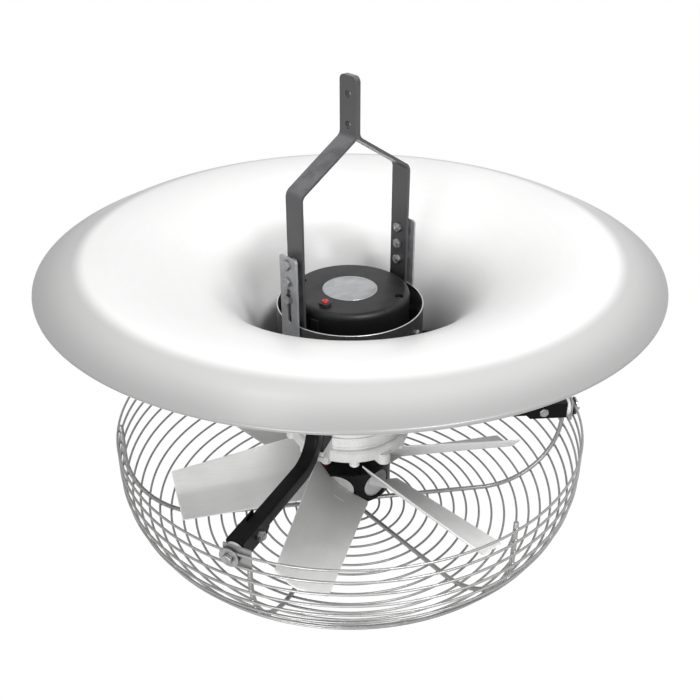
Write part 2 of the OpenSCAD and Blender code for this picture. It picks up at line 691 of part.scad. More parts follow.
// end sleeves: a square box with an open notch at its inner end that leaves two prongs
module end_sleeve() {
    half = end_sleeve_side / 2;
    inner = arm_side + 2 * seat_gap;
    difference() {
        translate([end_sleeve_in, -half, arm_z - half]) cube([end_sleeve_l, end_sleeve_side, end_sleeve_side]);
        translate([end_sleeve_in - 1, -inner / 2, arm_z - inner / 2]) cube([end_sleeve_l - end_wall + 1, inner, inner]);
        translate([end_sleeve_in - 1, -inner / 2, arm_z]) cube([end_cut_l - inner / 2 + 1, inner, half + 1]);
        translate([end_sleeve_in + end_cut_l - inner / 2, 0, arm_z]) cylinder(d = inner, h = half + 1, $fn = 48);
        translate([end_sleeve_in - 1, -half - 1, arm_z - half - 1]) rotate([0, 0, 0]) prong_trim();
        translate([cross_x, half + 1, arm_z]) rotate([90, 0, 0]) cylinder(d = slot_d, h = end_sleeve_side + 2, $fn = 32);
        translate([0, 0, arm_z]) x_hole(end_sleeve_out - end_wall - 1, end_sleeve_out + 1, slot_d);
    }
}
module prong_trim() {
    translate([0, 0, 0]) rotate([-90, 0, 0]) linear_extrude(end_sleeve_side + 2)
        polygon([[0, 0], [9, 0], [0, -9]]);
}
module end_sleeve_1() { color("#141414") arm_at(0) end_sleeve(); }
module end_sleeve_2() { color("#141414") arm_at(1) end_sleeve(); }
module end_sleeve_3() { color("#141414") arm_at(2) end_sleeve(); }
cross_seat = end_sleeve_side / 2 + seat_gap;
module cross_bolts() {
    color("silver") each_arm() translate([cross_x, -cross_seat, arm_z]) rotate([0, 0, -90])
        x_bolt(2 * cross_seat + nut_h + 3);
}
module cross_nuts() {
    color("silver") each_arm() translate([cross_x, cross_seat, arm_z]) rotate([0, 0, 90]) x_nut();
}
module end_spacers() {
    color("white") each_arm() translate([end_sleeve_out + seat_gap, 0, arm_z]) rotate([0, 90, 0]) difference() {
        cylinder(r = end_spacer_r, h = end_spacer_t, $fn = 48);
        translate([0, 0, -1]) cylinder(r = end_spacer_bore_r, h = end_spacer_t + 2, $fn = 48);
    }
}
end_bolt_seat = end_washer_in + end_washer_t + seat_gap;
module end_bolts() {
    color("lightgray") each_arm() translate([end_bolt_seat, 0, arm_z])
        x_bolt(end_bolt_seat - end_sleeve_out + end_wall + nut_h + seat_gap + 2);
}
module end_washers() {
    color("silver") each_arm() translate([end_washer_in, 0, arm_z]) rotate([0, 90, 0]) difference() {
        cylinder(r = end_washer_r, h = end_washer_t, $fn = 48);
        translate([0, 0, -1]) cylinder(d = slot_d, h = end_washer_t + 2, $fn = 48);
    }
}
module end_nuts() {
    color("silver") each_arm() translate([end_sleeve_out - end_wall - seat_gap - nut_h, 0, arm_z]) x_nut();
}

// guard: rings on the outside of six ribs, with a plate above each rib that meets an arm
module guard_ring(k) {
    p = guard_point(ring_first_r + ring_pitch * k);
    translate([0, 0, guard_z + p[1]]) rotate_extrude($fn = 180) translate([p[0], 0]) circle(d = ring_d, $fn = 24);
}
module guard_floor() { color("whitesmoke") for (k = [0:floor_rings - 1]) guard_ring(k); }
module guard_rings() { color("whitesmoke") for (k = [floor_rings:ring_count - 1]) guard_ring(k); }
module guard_rib(h) {
    translate([rib_start, 0, guard_z + rib_off]) rotate([0, 90, 0]) cylinder(d = rib_d, h = floor_r - rib_start, $fn = 32);
    translate([floor_r, 0, guard_z + guard_bend_r]) rotate([90, 0, 0]) rotate([0, 0, -90])
        rotate_extrude(angle = 90, $fn = 180) translate([guard_bend_r - rib_off, 0]) circle(d = rib_d, $fn = 32);
    translate([guard_r - rib_off, 0, guard_z + guard_bend_r]) cylinder(d = rib_d, h = h, $fn = 32);
}
module guard_ribs() {
    color("whitesmoke") for (i = [0:rib_count - 1]) rotate([0, 0, rib_turn + 360 / rib_count * i])
        guard_rib(i % 2 == 0 ? rib_plate_h : rib_plain_h);
}
module guard_plates() {
    color("whitesmoke") each_arm() difference() {
        translate([plate_in, -plate_side, arm_z - plate_down])
            cube([plate_t, plate_side + plate_far, plate_down + plate_up]);
        translate([0, 0, arm_z]) x_hole(plate_in - 1, plate_out + 1, slot_d);
    }
}

// impeller: shaft, two round hub halves that clamp the blade feet, and twisted blades
module hub_drum(z0, z1) {
    translate([0, 0, z0]) cylinder(r = hub_r, h = z1 - z0);
}
module each_blade() {
    for (i = [0:blade_count - 1]) rotate([0, 0, blade_turn + 360 / blade_count * i]) children();
}
module hub_cuts() {
    each_blade() translate([0, 0, blade_z]) x_hole(foot_in - foot_gap, hub_r + 1, 2 * (foot_r + foot_gap));
    translate([0, 0, hub_bottom - 1]) cylinder(r = shaft_r + run_gap, h = hub_up + hub_down + hub_boss_h + 2);
    hub_bolts_at() {
        translate([0, 0, hub_bottom + 4]) cylinder(d = hub_bolt_d + 2 * bolt_gap, h = hub_up + hub_down, $fn = 32);
        translate([0, 0, hub_top - hub_bolt_deep]) cylinder(r = hub_bolt_head_r + seat_gap, h = hub_bolt_deep + 1, $fn = 32);
    }
}
module hub_bolts_at() {
    for (i = [0:blade_count - 1]) rotate([0, 0, blade_turn + 30 + 360 / blade_count * i])
        translate([hub_bolt_r, 0, 0]) children();
}
module hub_lower() {
    color("#161616") difference() { hub_drum(hub_bottom, blade_z); hub_cuts(); }
}
module hub_upper() {
    color("#161616") difference() {
        union() {
            hub_drum(blade_z + seat_gap, hub_top);
            translate([0, 0, hub_top - 1]) cylinder(r = hub_boss_r, h = hub_boss_h + 1);
        }
        hub_cuts();
    }
}
module hub_bolts() {
    color("#202020") hub_bolts_at() translate([0, 0, hub_top - hub_bolt_deep + seat_gap]) {
        difference() {
            cylinder(r = hub_bolt_head_r, h = hub_bolt_head_h, $fn = 32);
            translate([0, 0, hub_bolt_head_h - 3]) cylinder(d = 4 / cos(30), h = 4, $fn = 6);
        }
        translate([0, 0, hub_bottom + 5 - hub_top + hub_bolt_deep]) cylinder(d = hub_bolt_d, h = hub_up + hub_down - hub_bolt_deep - 4, $fn = 32);
    }
}
module shaft() {
    color("silver") translate([0, 0, hub_bottom + 1]) cylinder(r = shaft_r, h = shaft_top - hub_bottom - 1);
}
module hub_washer() {
    color("silver") ring_tube(hub_screw_d / 2 + bolt_gap, shaft_r + 8, hub_bottom - seat_gap - hub_washer_t, hub_bottom - seat_gap);
}
module hub_screw() {
    color("silver") translate([0, 0, hub_bottom - 2 * seat_gap - hub_washer_t]) {
        translate([0, 0, -hub_screw_head]) cylinder(d = 16 / cos(30), h = hub_screw_head, $fn = 6);
        cylinder(d = hub_screw_d, h = hub_washer_t + 2 * seat_gap + 1 - 0.1, $fn = 32);
    }
}

// blade sheet: straight edges from root to tip, with a curved section between them
function blade_corner(mid, chord, pitch, skew, e) = mid + [-e * skew, e * chord / 2 * cos(pitch), -e * chord / 2 * sin(pitch)];
root_edges = [for (e = [-1, 1]) blade_corner(root_mid, root_chord, root_pitch, root_skew, e)];
tip_edges = [for (e = [-1, 1]) blade_corner(tip_mid, tip_chord, tip_pitch, tip_skew, e)];
function blade_down(s) = let (d = (root_edges[1] - root_edges[0]) * (1 - s) + (tip_edges[1] - tip_edges[0]) * s)
    [0, d[2], -d[1]] / norm([d[1], d[2]]);
function fold_curve(t, at) = let (a = t / at, b = (1 - t) / (1 - at))
    (a + b - sqrt(pow(a - b, 2) + pow(fold_soft, 2))) / (2 - fold_soft);
function blade_point(s, t, lift) = let (
    a = root_edges[0] * (1 - s) + tip_edges[0] * s,
    c = root_edges[1] * (1 - s) + tip_edges[1] * s,
    depth = camber * fold_curve(t, root_fold * (1 - s) + tip_fold * s))
    a * (1 - t) + c * t + (depth + lift) * blade_down(s);
blade_row = chord_steps + 1;
blade_face = (span_steps + 1) * blade_row;
function blade_tile(i, j) = i * blade_row + j;
blade_points = [for (lift = [-blade_t / 2, blade_t / 2], i = [0:span_steps], j = [0:chord_steps])
    blade_point(i / span_steps, j / chord_steps, lift)];
function two(a, b, c, d) = [[a, b, c], [a, c, d]];
blade_faces = concat(
    [for (i = [0:span_steps - 1], j = [0:chord_steps - 1], f = two(blade_tile(i, j), blade_tile(i, j + 1),
        blade_tile(i + 1, j + 1), blade_tile(i + 1, j))) f],
    [for (i = [0:span_steps - 1], j = [0:chord_steps - 1], f = two(blade_tile(i, j), blade_tile(i + 1, j),
        blade_tile(i + 1, j + 1), blade_tile(i, j + 1))) f + [blade_face, blade_face, blade_face]],
    [for (i = [0:span_steps - 1], f = two(blade_tile(i, 0), blade_tile(i + 1, 0),
        blade_tile(i + 1, 0) + blade_face, blade_tile(i, 0) + blade_face)) f],
    [for (i = [0:span_steps - 1], f = two(blade_tile(i + 1, chord_steps), blade_tile(i, chord_steps),
        blade_tile(i, chord_steps) + blade_face, blade_tile(i + 1, chord_steps) + blade_face)) f],
    [for (j = [0:chord_steps - 1], f = two(blade_tile(0, j + 1), blade_tile(0, j),
        blade_tile(0, j) + blade_face, blade_tile(0, j + 1) + blade_face)) f],
    [for (j = [0:chord_steps - 1], f = two(blade_tile(span_steps, j), blade_tile(span_steps, j + 1),
        blade_tile(span_steps, j + 1) + blade_face, blade_tile(span_steps, j) + blade_face)) f]);
module blade() {
    translate([0, 0, blade_z]) {
        difference() {
            polyhedron(points = blade_points, faces = blade_faces);
            translate([0, 0, -hub_down - 5]) cylinder(r = hub_r + curve_gap, h = 2 * (hub_up + hub_down));
        }
        translate([foot_in, 0, 0]) rotate([0, 90, 0]) cylinder(r = foot_r, h = foot_out - foot_in, $fn = 64);
        foot_web();
    }
}

// web between the blade's foot and the underside of its sheet
module foot_web() {
    axis_off = root_mid[1] * sin(root_pitch) + root_mid[2] * cos(root_pitch);
    ridge = (root_fold - 0.5) * root_chord + root_mid[1] * cos(root_pitch) - root_mid[2] * sin(root_pitch);
    low = axis_off - camber;
    rise = camber / (root_chord / 2) * 1.1;
    rotate([-root_pitch, 0, 0]) intersection() {
        upright(2 * foot_r) polygon([[foot_out - 1, -web_low], [foot_out - 1, foot_r],
            [foot_out + web_l, foot_r], [foot_out + web_l, low - 1]]);
        translate([foot_out - 1, 0, 0]) rotate([90, 0, 90]) linear_extrude(web_l + 1)
            polygon([[ridge - 12, -web_low], [ridge + 18, -web_low], [ridge + 18, low + 13 * rise],
                     [ridge, low + 0.2], [ridge - 12, low + 7 * rise]]);
    }
}
module blade_at(i) { color("lightgray") rotate([0, 0, blade_turn + 360 / blade_count * i]) blade(); }
module blade_1() { blade_at(0); }
module blade_2() { blade_at(1); }
module blade_3() { blade_at(2); }
module blade_4() { blade_at(3); }
module blade_5() { blade_at(4); }
module blade_6() { blade_at(5); }

hanger_strip_right();
hanger_strip_left();
slotted_strap_right();
slotted_strap_left();
strap_bolts();
strap_nuts();
strap_spacers();
leg_bolts();
sleeve();
sleeve_screws();
motor_cap();
cap_screws();
cap_label();
plug_collar();
cable_plug();
motor_housing();
end_shield();
shield_screws();
drain_plug();
bearing_upper();
bearing_lower();
shaft_seal();
flow_disc();
arm_1();
arm_2();
arm_3();
arm_webs();
arm_bolts();
arm_nuts();
end_sleeve_1();
end_sleeve_2();
end_sleeve_3();
cross_bolts();
cross_nuts();
end_spacers();
end_bolts();
end_washers();
end_nuts();
guard_floor();
guard_rings();
guard_ribs();
guard_plates();
shaft();
hub_lower();
hub_upper();
hub_bolts();
hub_washer();
hub_screw();
blade_1();
blade_2();
blade_3();
blade_4();
blade_5();
blade_6();
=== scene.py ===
"""Looks of a hanging air circulator fan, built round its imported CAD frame."""
import math

import bmesh
import bpy
import numpy as np
from bpy.props import FloatProperty, FloatVectorProperty, IntProperty, PointerProperty
from mathutils import Matrix, Vector


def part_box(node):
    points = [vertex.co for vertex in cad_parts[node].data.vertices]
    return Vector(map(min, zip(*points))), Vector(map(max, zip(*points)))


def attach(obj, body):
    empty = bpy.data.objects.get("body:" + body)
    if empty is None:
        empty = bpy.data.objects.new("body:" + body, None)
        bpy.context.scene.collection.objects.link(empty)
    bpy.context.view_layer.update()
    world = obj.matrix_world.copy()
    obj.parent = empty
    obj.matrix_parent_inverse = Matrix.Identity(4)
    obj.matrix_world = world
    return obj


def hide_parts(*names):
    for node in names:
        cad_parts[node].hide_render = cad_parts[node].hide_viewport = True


bl_info = {
    "name": "Air circulator fan",
    "version": (1, 0, 0),
    "blender": (4, 5, 0),
    "location": "3D View > Sidebar > Fan",
    "description": "Builds the looks of a hanging air circulator fan round its CAD frame",
    "category": "Add Mesh",
}

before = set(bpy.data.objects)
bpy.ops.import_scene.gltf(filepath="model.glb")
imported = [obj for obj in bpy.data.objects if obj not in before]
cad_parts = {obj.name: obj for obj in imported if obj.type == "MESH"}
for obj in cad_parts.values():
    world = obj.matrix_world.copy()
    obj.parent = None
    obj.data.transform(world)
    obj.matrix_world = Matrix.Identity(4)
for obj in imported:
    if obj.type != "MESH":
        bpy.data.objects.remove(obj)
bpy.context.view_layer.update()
MM = 0.001
STILL = "fan_frame"
TURNING = "impeller"


# settings

def length(name, description, mm):
    """A length setting, given in millimetres and kept in metres."""
    return FloatProperty(name=name, description=description, default=mm * MM, unit="LENGTH", precision=5)


def angle(name, description, degrees):
    """An angle setting, given in degrees."""
    return FloatProperty(name=name, description=description, default=math.radians(degrees), subtype="ANGLE")


def colour(name, description, rgb):
    """A colour setting."""
    return FloatVectorProperty(name=name, description=description, default=rgb, size=3, subtype="COLOR",
                               min=0.0, max=1.0)


def count(name, description, number):
    """A whole number setting."""
    return IntProperty(name=name, description=description, default=number, min=1)


def amount(name, description, value):
    """A setting without a unit, or in one that its description names."""
    return FloatProperty(name=name, description=description, default=value)


def point(name, description, place):
    """A place in the fan's frame."""
    return FloatVectorProperty(name=name, description=description, default=place, size=3,
                               subtype="TRANSLATION")


class FAN_PG_disc(bpy.types.PropertyGroup):
    """Sizes and colour of the flow disc."""
    radius: length("Radius", "Outer radius of the disc", 426.85)
    wall: length("Wall", "Wall of the disc", 4)
    crown_radius: length("Crown radius", "Radius to the highest ring of the disc", 348)
    crown_z: length("Crown height", "Height of the crown in the fan's frame", -180)
    crease: length("Crease", "Radius of the soft crease outside the crown", 100)
    outer_slope: angle("Outer slope", "Slope of the cone outside the crease", 26)
    edge_round: length("Edge round", "Radius of the edge's rounding", 4.2)
    lip_radius: length("Lip radius", "Radius at which the crown passes into the funnel", 215)
    lip_slope: angle("Lip slope", "Slope of the funnel's start", 31.5)
    throat_radius: length("Throat radius", "Outer radius of the straight throat", 125.8)
    throat_height: length("Throat height", "Height of the straight throat", 30.7)
    white: colour("White", "Colour of the moulded disc", (0.88, 0.88, 0.875))


class FAN_PG_blades(bpy.types.PropertyGroup):
    """Sizes and colour of the impeller's blades."""
    number: count("Blades", "Number of blades", 6)
    turn: angle("Turn", "Turn of the first blade", -27.5)
    axis_z: length("Axis height", "Height of the blades' axis in the fan's frame", -569)
    tip_radius: length("Tip radius", "Radius to the middle of the tips", 272)
    root_chord: length("Root chord", "Chord at the root", 105)
    tip_chord: length("Tip chord", "Chord at the tip", 82)
    root_pitch: angle("Root pitch", "Pitch at the root", 40)
    tip_pitch: angle("Tip pitch", "Pitch at the tip", 28.5)
    camber: length("Camber", "Depth of the folded section", 12)
    sheet: length("Sheet", "Thickness of the blade sheet", 2.5)
    foot_radius: length("Foot radius", "Radius of the round foot", 24)
    grey: colour("Grey", "Colour of the painted blade", (0.90, 0.90, 0.892))


class FAN_PG_guard(bpy.types.PropertyGroup):
    """Sizes and colour of the wire guard."""
    radius: length("Radius", "Radius of the guard's wall", 348)
    floor_z: length("Floor height", "Height of the guard's floor in the fan's frame", -642)
    bend: length("Bend", "Radius of the bend between floor and wall", 131)
    wire: length("Ring wire", "Diameter of the ring wire", 3.5)
    pitch: length("Ring pitch", "Distance from ring to ring", 20)
    first: length("First ring", "Radius of the innermost ring", 27.5)
    rings: count("Rings", "Number of rings", 23)
    ribs: count("Ribs", "Number of ribs", 6)
    rib: length("Rib wire", "Diameter of the ribs", 7)
    turn: angle("Turn", "Turn of the first rib", -32)
    white: colour("White", "Colour of the coated wire", (0.34, 0.34, 0.337))


class FAN_PG_hanger(bpy.types.PropertyGroup):
    """Finishes of the hanger, its straps and the sleeve."""
    edge: length("Edge", "Rounding of the strips' cut edges", 0.7)
    paint: colour("Paint", "Colour of the painted strips", (0.074, 0.074, 0.077))
    zinc: colour("Zinc", "Colour of the galvanised straps", (0.36, 0.365, 0.375))
    sleeve: colour("Sleeve", "Colour of the rolled sleeve", (0.082, 0.082, 0.085))


class FAN_PG_motor(bpy.types.PropertyGroup):
    """Finishes of the motor."""
    cap: colour("Cap", "Colour of the moulded cap", (0.007, 0.007, 0.0075))
    casting: colour("Casting", "Colour of the aluminium castings", (0.88, 0.88, 0.87))
    foil: colour("Foil", "Colour of the bare foil disc", (0.42, 0.43, 0.44))
    red: colour("Red", "Colour of the plugs", (0.55, 0.012, 0.014))


class FAN_PG_arms(bpy.types.PropertyGroup):
    """Sizes and colour of the support arms."""
    side: length("Side", "Side of the square tube", 20)
    wall: length("Wall", "Wall of the tube", 2)
    corner: length("Corner", "Outer corner radius of the tube", 2.6)
    bend: length("Bend", "Bend radius to the tube's middle", 50)
    turn: angle("Turn", "Turn of the first arm", -36)
    black: colour("Black", "Colour of the powder coat", (0.005, 0.005, 0.0055))


class FAN_PG_studio(bpy.types.PropertyGroup):
    """Camera and light."""
    lens: amount("Lens", "Focal length on a 36 mm sensor", 49.11)
    eye: point("Eye", "Place of the camera", (-0.7908, -0.9259, 0.34535))
    aim: point("Aim", "Point that the camera looks at", (0.0, 0.0, -0.3576))
    floor_z: length("Floor", "Height of the floor under the hanging fan", -2600)
    sky: amount("Sky", "Strength of the even light", 0.23)
    key: amount("Key", "Power of the large lamp in watts", 79.0)
    fill: amount("Fill", "Power of the front lamp in watts", 52.0)
    glint: amount("Glint", "Power of the small back lamp in watts", 8.69)


# shader maths

class Value:
    """A shader value that takes Python arithmetic where it stands first."""

    def __init__(self, nodes, socket):
        self.nodes, self.socket = nodes, socket

    def __add__(self, other):
        return self.nodes.maths("ADD", self, other)

    def __sub__(self, other):
        return self.nodes.maths("SUBTRACT", self, other)

    def __mul__(self, other):
        return self.nodes.maths("MULTIPLY", self, other)

    def band(self, low, high):
        """0 at low and 1 at high, with soft ends."""
        return self.nodes.node("ShaderNodeMapRange", {"interpolation_type": "SMOOTHSTEP"},
                               {"Value": self, "From Min": low, "From Max": high})


class Nodes:
    """A node tree while it is made."""

    def __init__(self, tree):
        self.tree = tree

    def plug(self, socket, value):
        """Links or sets one socket."""
        if isinstance(value, Value):
            self.tree.links.new(value.socket, socket)
        elif socket.type == "RGBA":
            socket.default_value = (*value[:3], 1.0)
        else:
            socket.default_value = value

    def node(self, kind, settings=None, sockets=None, out=0):
        """Adds a node: its settings first, then its sockets."""
        made = self.tree.nodes.new(kind)
        for key, value in (settings or {}).items():
            setattr(made, key, value)
        for key, value in (sockets or {}).items():
            self.plug(made.inputs[key], value)
        return Value(self, made.outputs[out])

    def maths(self, operation, *values):
        """The Math node's result for this operation."""
        return self.node("ShaderNodeMath", {"operation": operation}, dict(enumerate(values)))

    def seen(self):
        """1 for camera, mirror and glass rays, 0 for the light that surfaces pass on."""
        camera, mirror, glass = (self.node("ShaderNodeLightPath", out=ray) for ray in (
            "Is Camera Ray", "Is Glossy Ray", "Is Transmission Ray"))
        return self.maths("MAXIMUM", self.maths("MAXIMUM", camera, mirror), glass)


class Finish(Nodes):
    """A procedural material while it is made, with its colour and the base that is mixed from it."""

    def __init__(self, name, rgb, **fixed):
        self.material = bpy.data.materials.new(name)
        self.material.use_nodes = True
        super().__init__(self.material.node_tree)
        self.shader = self.tree.nodes["Principled BSDF"]
        self.rgb, self.base = rgb, None
        for key, value in fixed.items():
            self.plug(self.shader.inputs[key.replace("_", " ").title().replace("Ior", "IOR")], value)

    def place(self, stretch=(1.0, 1.0, 1.0)):
        """Object coordinates, stretched."""
        point = self.node("ShaderNodeTexCoord", out="Object")
        return self.node("ShaderNodeMapping", None, {"Vector": point, "Scale": stretch})

    def parts(self, vector):
        """The three numbers of a vector."""
        split = self.node("ShaderNodeSeparateXYZ", None, {"Vector": vector})
        return [Value(self, output) for output in split.socket.node.outputs]

    def spot(self):
        """The three object coordinates."""
        return self.parts(self.node("ShaderNodeTexCoord", out="Object"))

    def radius(self):
        """Distance from the vertical axis."""
        x, y, _ = self.spot()
        return self.maths("SQRT", x * x + y * y)

    def polar(self, around=1.0, out=1.0, up=1.0):
        """Coordinates round the vertical axis: turn, radius and height, each scaled."""
        x, y, z = self.spot()
        return self.node("ShaderNodeCombineXYZ", None, {"X": self.maths("ARCTAN2", y, x) * around,
                                                        "Y": self.radius() * out, "Z": z * up})

    def noise(self, scale, detail=3.0, where=None):
        """Cloud noise from 0 to 1."""
        return self.node("ShaderNodeTexNoise", None, {"Vector": where or self.place(), "Scale": scale,
                                                      "Detail": detail, "Roughness": 0.55})

    def cells(self, scale):
        """Distance from the middle of cells of about one over scale metres."""
        return self.node("ShaderNodeTexVoronoi", None, {"Vector": self.place(), "Scale": scale})

    def edge(self):
        """1 on the narrow faces of rounded edges."""
        return self.node("ShaderNodeAttribute", {"attribute_name": "edge"}, out="Fac")

    def upward(self):
        """1 where the surface looks up, and -1 where it looks down."""
        return self.parts(self.node("ShaderNodeNewGeometry", out="Normal"))[2]

    def mix(self, factor, first, second):
        """A colour between two."""
        return self.node("ShaderNodeMix", {"data_type": "RGBA"}, {0: factor, 6: first, 7: second}, 2)

    def vary(self, factor, low, high):
        """Starts the base with a colour between two shades."""
        self.base = self.mix(factor, shade(self.rgb, low), shade(self.rgb, high))

    def tint(self, factor, tone):
        """Mixes one more shade into the base."""
        self.base = self.mix(factor, self.base, shade(self.rgb, tone))

    def bump(self, height, depth, strength=1.0, under=None):
        """Relief of this depth in metres."""
        sockets = {"Height": height, "Distance": depth, "Strength": strength}
        if under:
            sockets["Normal"] = under
        return self.node("ShaderNodeBump", None, sockets)

    def done(self, roughness, normal):
        """Joins the results to the shader."""
        for key, value in (("Base Color", self.base), ("Roughness", roughness), ("Normal", normal)):
            self.plug(self.shader.inputs[key], value)
        return self.material


def shade(rgb, factor):
    """A colour made lighter or darker."""
    return tuple(min(1.0, c * factor) for c in rgb)


def coat(name, rgb, grain, depth, rough, edge_wear_and_light_tone, dust_and_top_light, **fixed):
    """Paint, powder coat or moulded plastic: grain, blotches, dusting and painted top light, rubbed wear and
    painted highlight on edges.
    """
    f = Finish(name, rgb, **fixed)
    clouds = f.noise(16.0, 4.0).band(0.3, 0.72)
    speckle = f.noise(grain * 0.6, 2.0)
    f.vary(clouds, 0.93, 1.05)
    f.tint(speckle.band(0.55, 0.75) * 0.35, 1.18)
    # Patchy tone on upward faces: partly dusting, partly painted top light.
    f.tint(f.upward().band(0.3, 0.85) * f.noise(45.0, 4.0).band(0.3, 0.62), dust_and_top_light)
    # Lighter edges in patches: partly rubbed wear, partly painted edge highlight.
    edge_wear_and_light = f.edge() * f.noise(70.0, 3.0).band(0.38, 0.62)
    f.tint(edge_wear_and_light * 0.8, edge_wear_and_light_tone)
    fine = f.bump(f.cells(grain) + speckle * 0.6, depth)
    wavy = f.bump(f.noise(grain * 0.16, 2.0), depth * 3.0, 0.5, fine)
    return f.done(clouds * 0.1 + speckle * 0.08 + (rough - 0.09) - edge_wear_and_light * 0.05, wavy)


def bright_metal(name, rgb, rough, turned=False):
    """Plated or ground metal: faint stains, fine scratches, round it if it was turned, and a painted
    highlight on the edges.
    """
    f = Finish(name, rgb, metallic=1.0)
    stain = f.noise(120.0, 5.0).band(0.32, 0.7)
    fine = f.noise(1600.0, 2.0, f.polar(0.02, 1.0, 1.6) if turned else None)
    f.vary(stain, 0.84, 1.08)
    f.tint(fine.band(0.55, 0.8) * 0.4, 1.25)
    # Painted edge highlight: the rounded edges are lightened.
    f.tint(f.edge() * 0.7, 1.35)
    return f.done(stain * 0.16 + fine * 0.1 + (rough - 0.12), f.bump(fine, 0.00003))


def galvanised(name, rgb):
    """Hot dip zinc: flat crystals of slightly different greys."""
    f = Finish(name, rgb, metallic=0.45)
    crystals = f.node("ShaderNodeTexVoronoi", None, {"Vector": f.place((1.0, 1.0, 0.7)), "Scale": 170.0},
                      "Color")
    tone = f.node("ShaderNodeSeparateColor", None, {"Color": crystals})
    stain = f.noise(60.0, 5.0).band(0.3, 0.7)
    f.vary(tone, 0.86, 1.12)
    f.tint(stain * 0.35, 0.8)
    # Painted edge highlight: the rounded edges are lightened.
    f.tint(f.edge() * 0.6, 1.4)
    return f.done(tone * 0.16 + stain * 0.12 + 0.33, f.bump(tone + f.noise(500.0) * 0.5, 0.00004))


def rolled_sheet(name, rgb, cut=(0.62, 0.62, 0.62)):
    """Rolled steel sheet bent to a ring: streaks round it and a bright cut rim."""
    f = Finish(name, rgb, metallic=0.85)
    streaks = f.noise(9.0, 4.0, f.polar(0.5, 0.0, 90.0))
    scratch = f.noise(60.0, 2.0, f.polar(0.6, 0.0, 60.0))
    f.vary(streaks.band(0.35, 0.65), 0.8, 1.15)
    f.tint(scratch.band(0.62, 0.75) * 0.5, 1.7)
    f.base = f.mix(f.edge(), f.base, cut)
    return f.done(streaks * 0.14 + 0.3, f.bump(streaks + scratch * 0.5, 0.00006))


def casting(name, rgb):
    """Light aluminium casting: sandy skin, darker pits and lighter edges."""
    f = Finish(name, rgb, metallic=0.08)
    sand = f.noise(1100.0, 3.0)
    lumps = f.noise(210.0, 3.0)
    f.vary(f.noise(26.0, 4.0).band(0.3, 0.7), 0.88, 1.08)
    f.tint(sand.band(0.5, 0.36) * 0.55, 0.6)
    # Lighter edges in patches: partly rubbed wear, partly painted edge highlight.
    f.tint(f.edge() * f.noise(90.0).band(0.35, 0.6), 1.3)
    fine = f.bump(sand, 0.0001)
    return f.done(sand * 0.2 + 0.4, f.bump(lumps, 0.0003, 0.7, fine))


def moulded_white(name, rgb):
    """Large white moulding: slight ripple, faint dusty rings, grey specks, painted shade on the outer cone
    and in the throat.
    """
    f = Finish(name, rgb, coat_weight=0.25, coat_roughness=0.3, specular_ior_level=0.34)
    haze = f.noise(5.0, 4.0).band(0.3, 0.75)
    rings = f.noise(7.0, 3.0, f.polar(0.4, 26.0, 26.0)).band(0.4, 0.7)
    specks = f.cells(95.0).band(0.07, 0.02) * f.noise(19.0).band(0.52, 0.66)
    crease, cone, throat = (f.radius().band(*span) for span in ((0.354, 0.376), (0.37, 0.43), (0.215, 0.13)))
    f.vary(haze, 0.985, 1.02)
    f.tint(rings * 0.35, 0.965)
    f.tint(specks * 0.35, 0.6)
    # Painted shade: the crease and outer cone are greyed, more towards the edge, on all but downward faces.
    f.tint((crease * 0.66 + cone * 0.34) * f.upward().band(-0.7, -0.2), 0.33)
    # Painted shade deep in the funnel: darker towards the throat on faces that don't look down.
    f.tint(throat * f.upward().band(-0.2, 0.1) * 0.6, 0.45)
    ripple = f.bump(f.noise(34.0, 2.0), 0.00022, 0.55)
    return f.done(haze * 0.07 + rings * 0.05 + 0.3, f.bump(f.noise(700.0, 2.0), 0.00003, 0.5, ripple))


def painted_sheet(name, rgb):
    """Painted blade sheet: streaks along the blade, painted shade towards the hub, rubbed wear and painted
    highlight on edges.
    """
    f = Finish(name, rgb, metallic=0.05, coat_weight=0.12, coat_roughness=0.3)
    clouds = f.noise(13.0, 4.0).band(0.3, 0.7)
    streaks = f.noise(80.0, 3.0, f.polar(2.2, 0.25, 1.0)).band(0.42, 0.68)
    hub_shade = f.radius().band(0.16, 0.07)
    f.vary(clouds, 0.94, 1.05)
    f.tint(streaks * 0.3, 0.86)
    # Painted shade: the blade darkens towards the hub, where the disc's shadow falls.
    f.tint(hub_shade * 0.65, 0.42)
    # Lighter edges: partly rubbed paint, partly painted edge highlight.
    f.tint(f.edge() * 0.8, 1.25)
    fine = f.bump(f.noise(1300.0, 2.0), 0.00004)
    return f.done(clouds * 0.1 + streaks * 0.06 + 0.36, f.bump(f.noise(60.0, 2.0), 0.0002, 0.4, fine))


def bare_foil(name, rgb):
    """Bare foil disc: brushed across, with faint smudges."""
    f = Finish(name, rgb, metallic=0.8)
    brushed = f.noise(30.0, 4.0, f.place((1.0, 40.0, 1.0)))
    smudge = f.noise(55.0, 4.0).band(0.35, 0.7)
    f.vary(brushed.band(0.3, 0.7), 0.8, 1.2)
    f.tint(smudge * 0.3, 0.7)
    return f.done(brushed * 0.2 + smudge * 0.1 + 0.26, f.bump(brushed, 0.00003))


finishes = {}


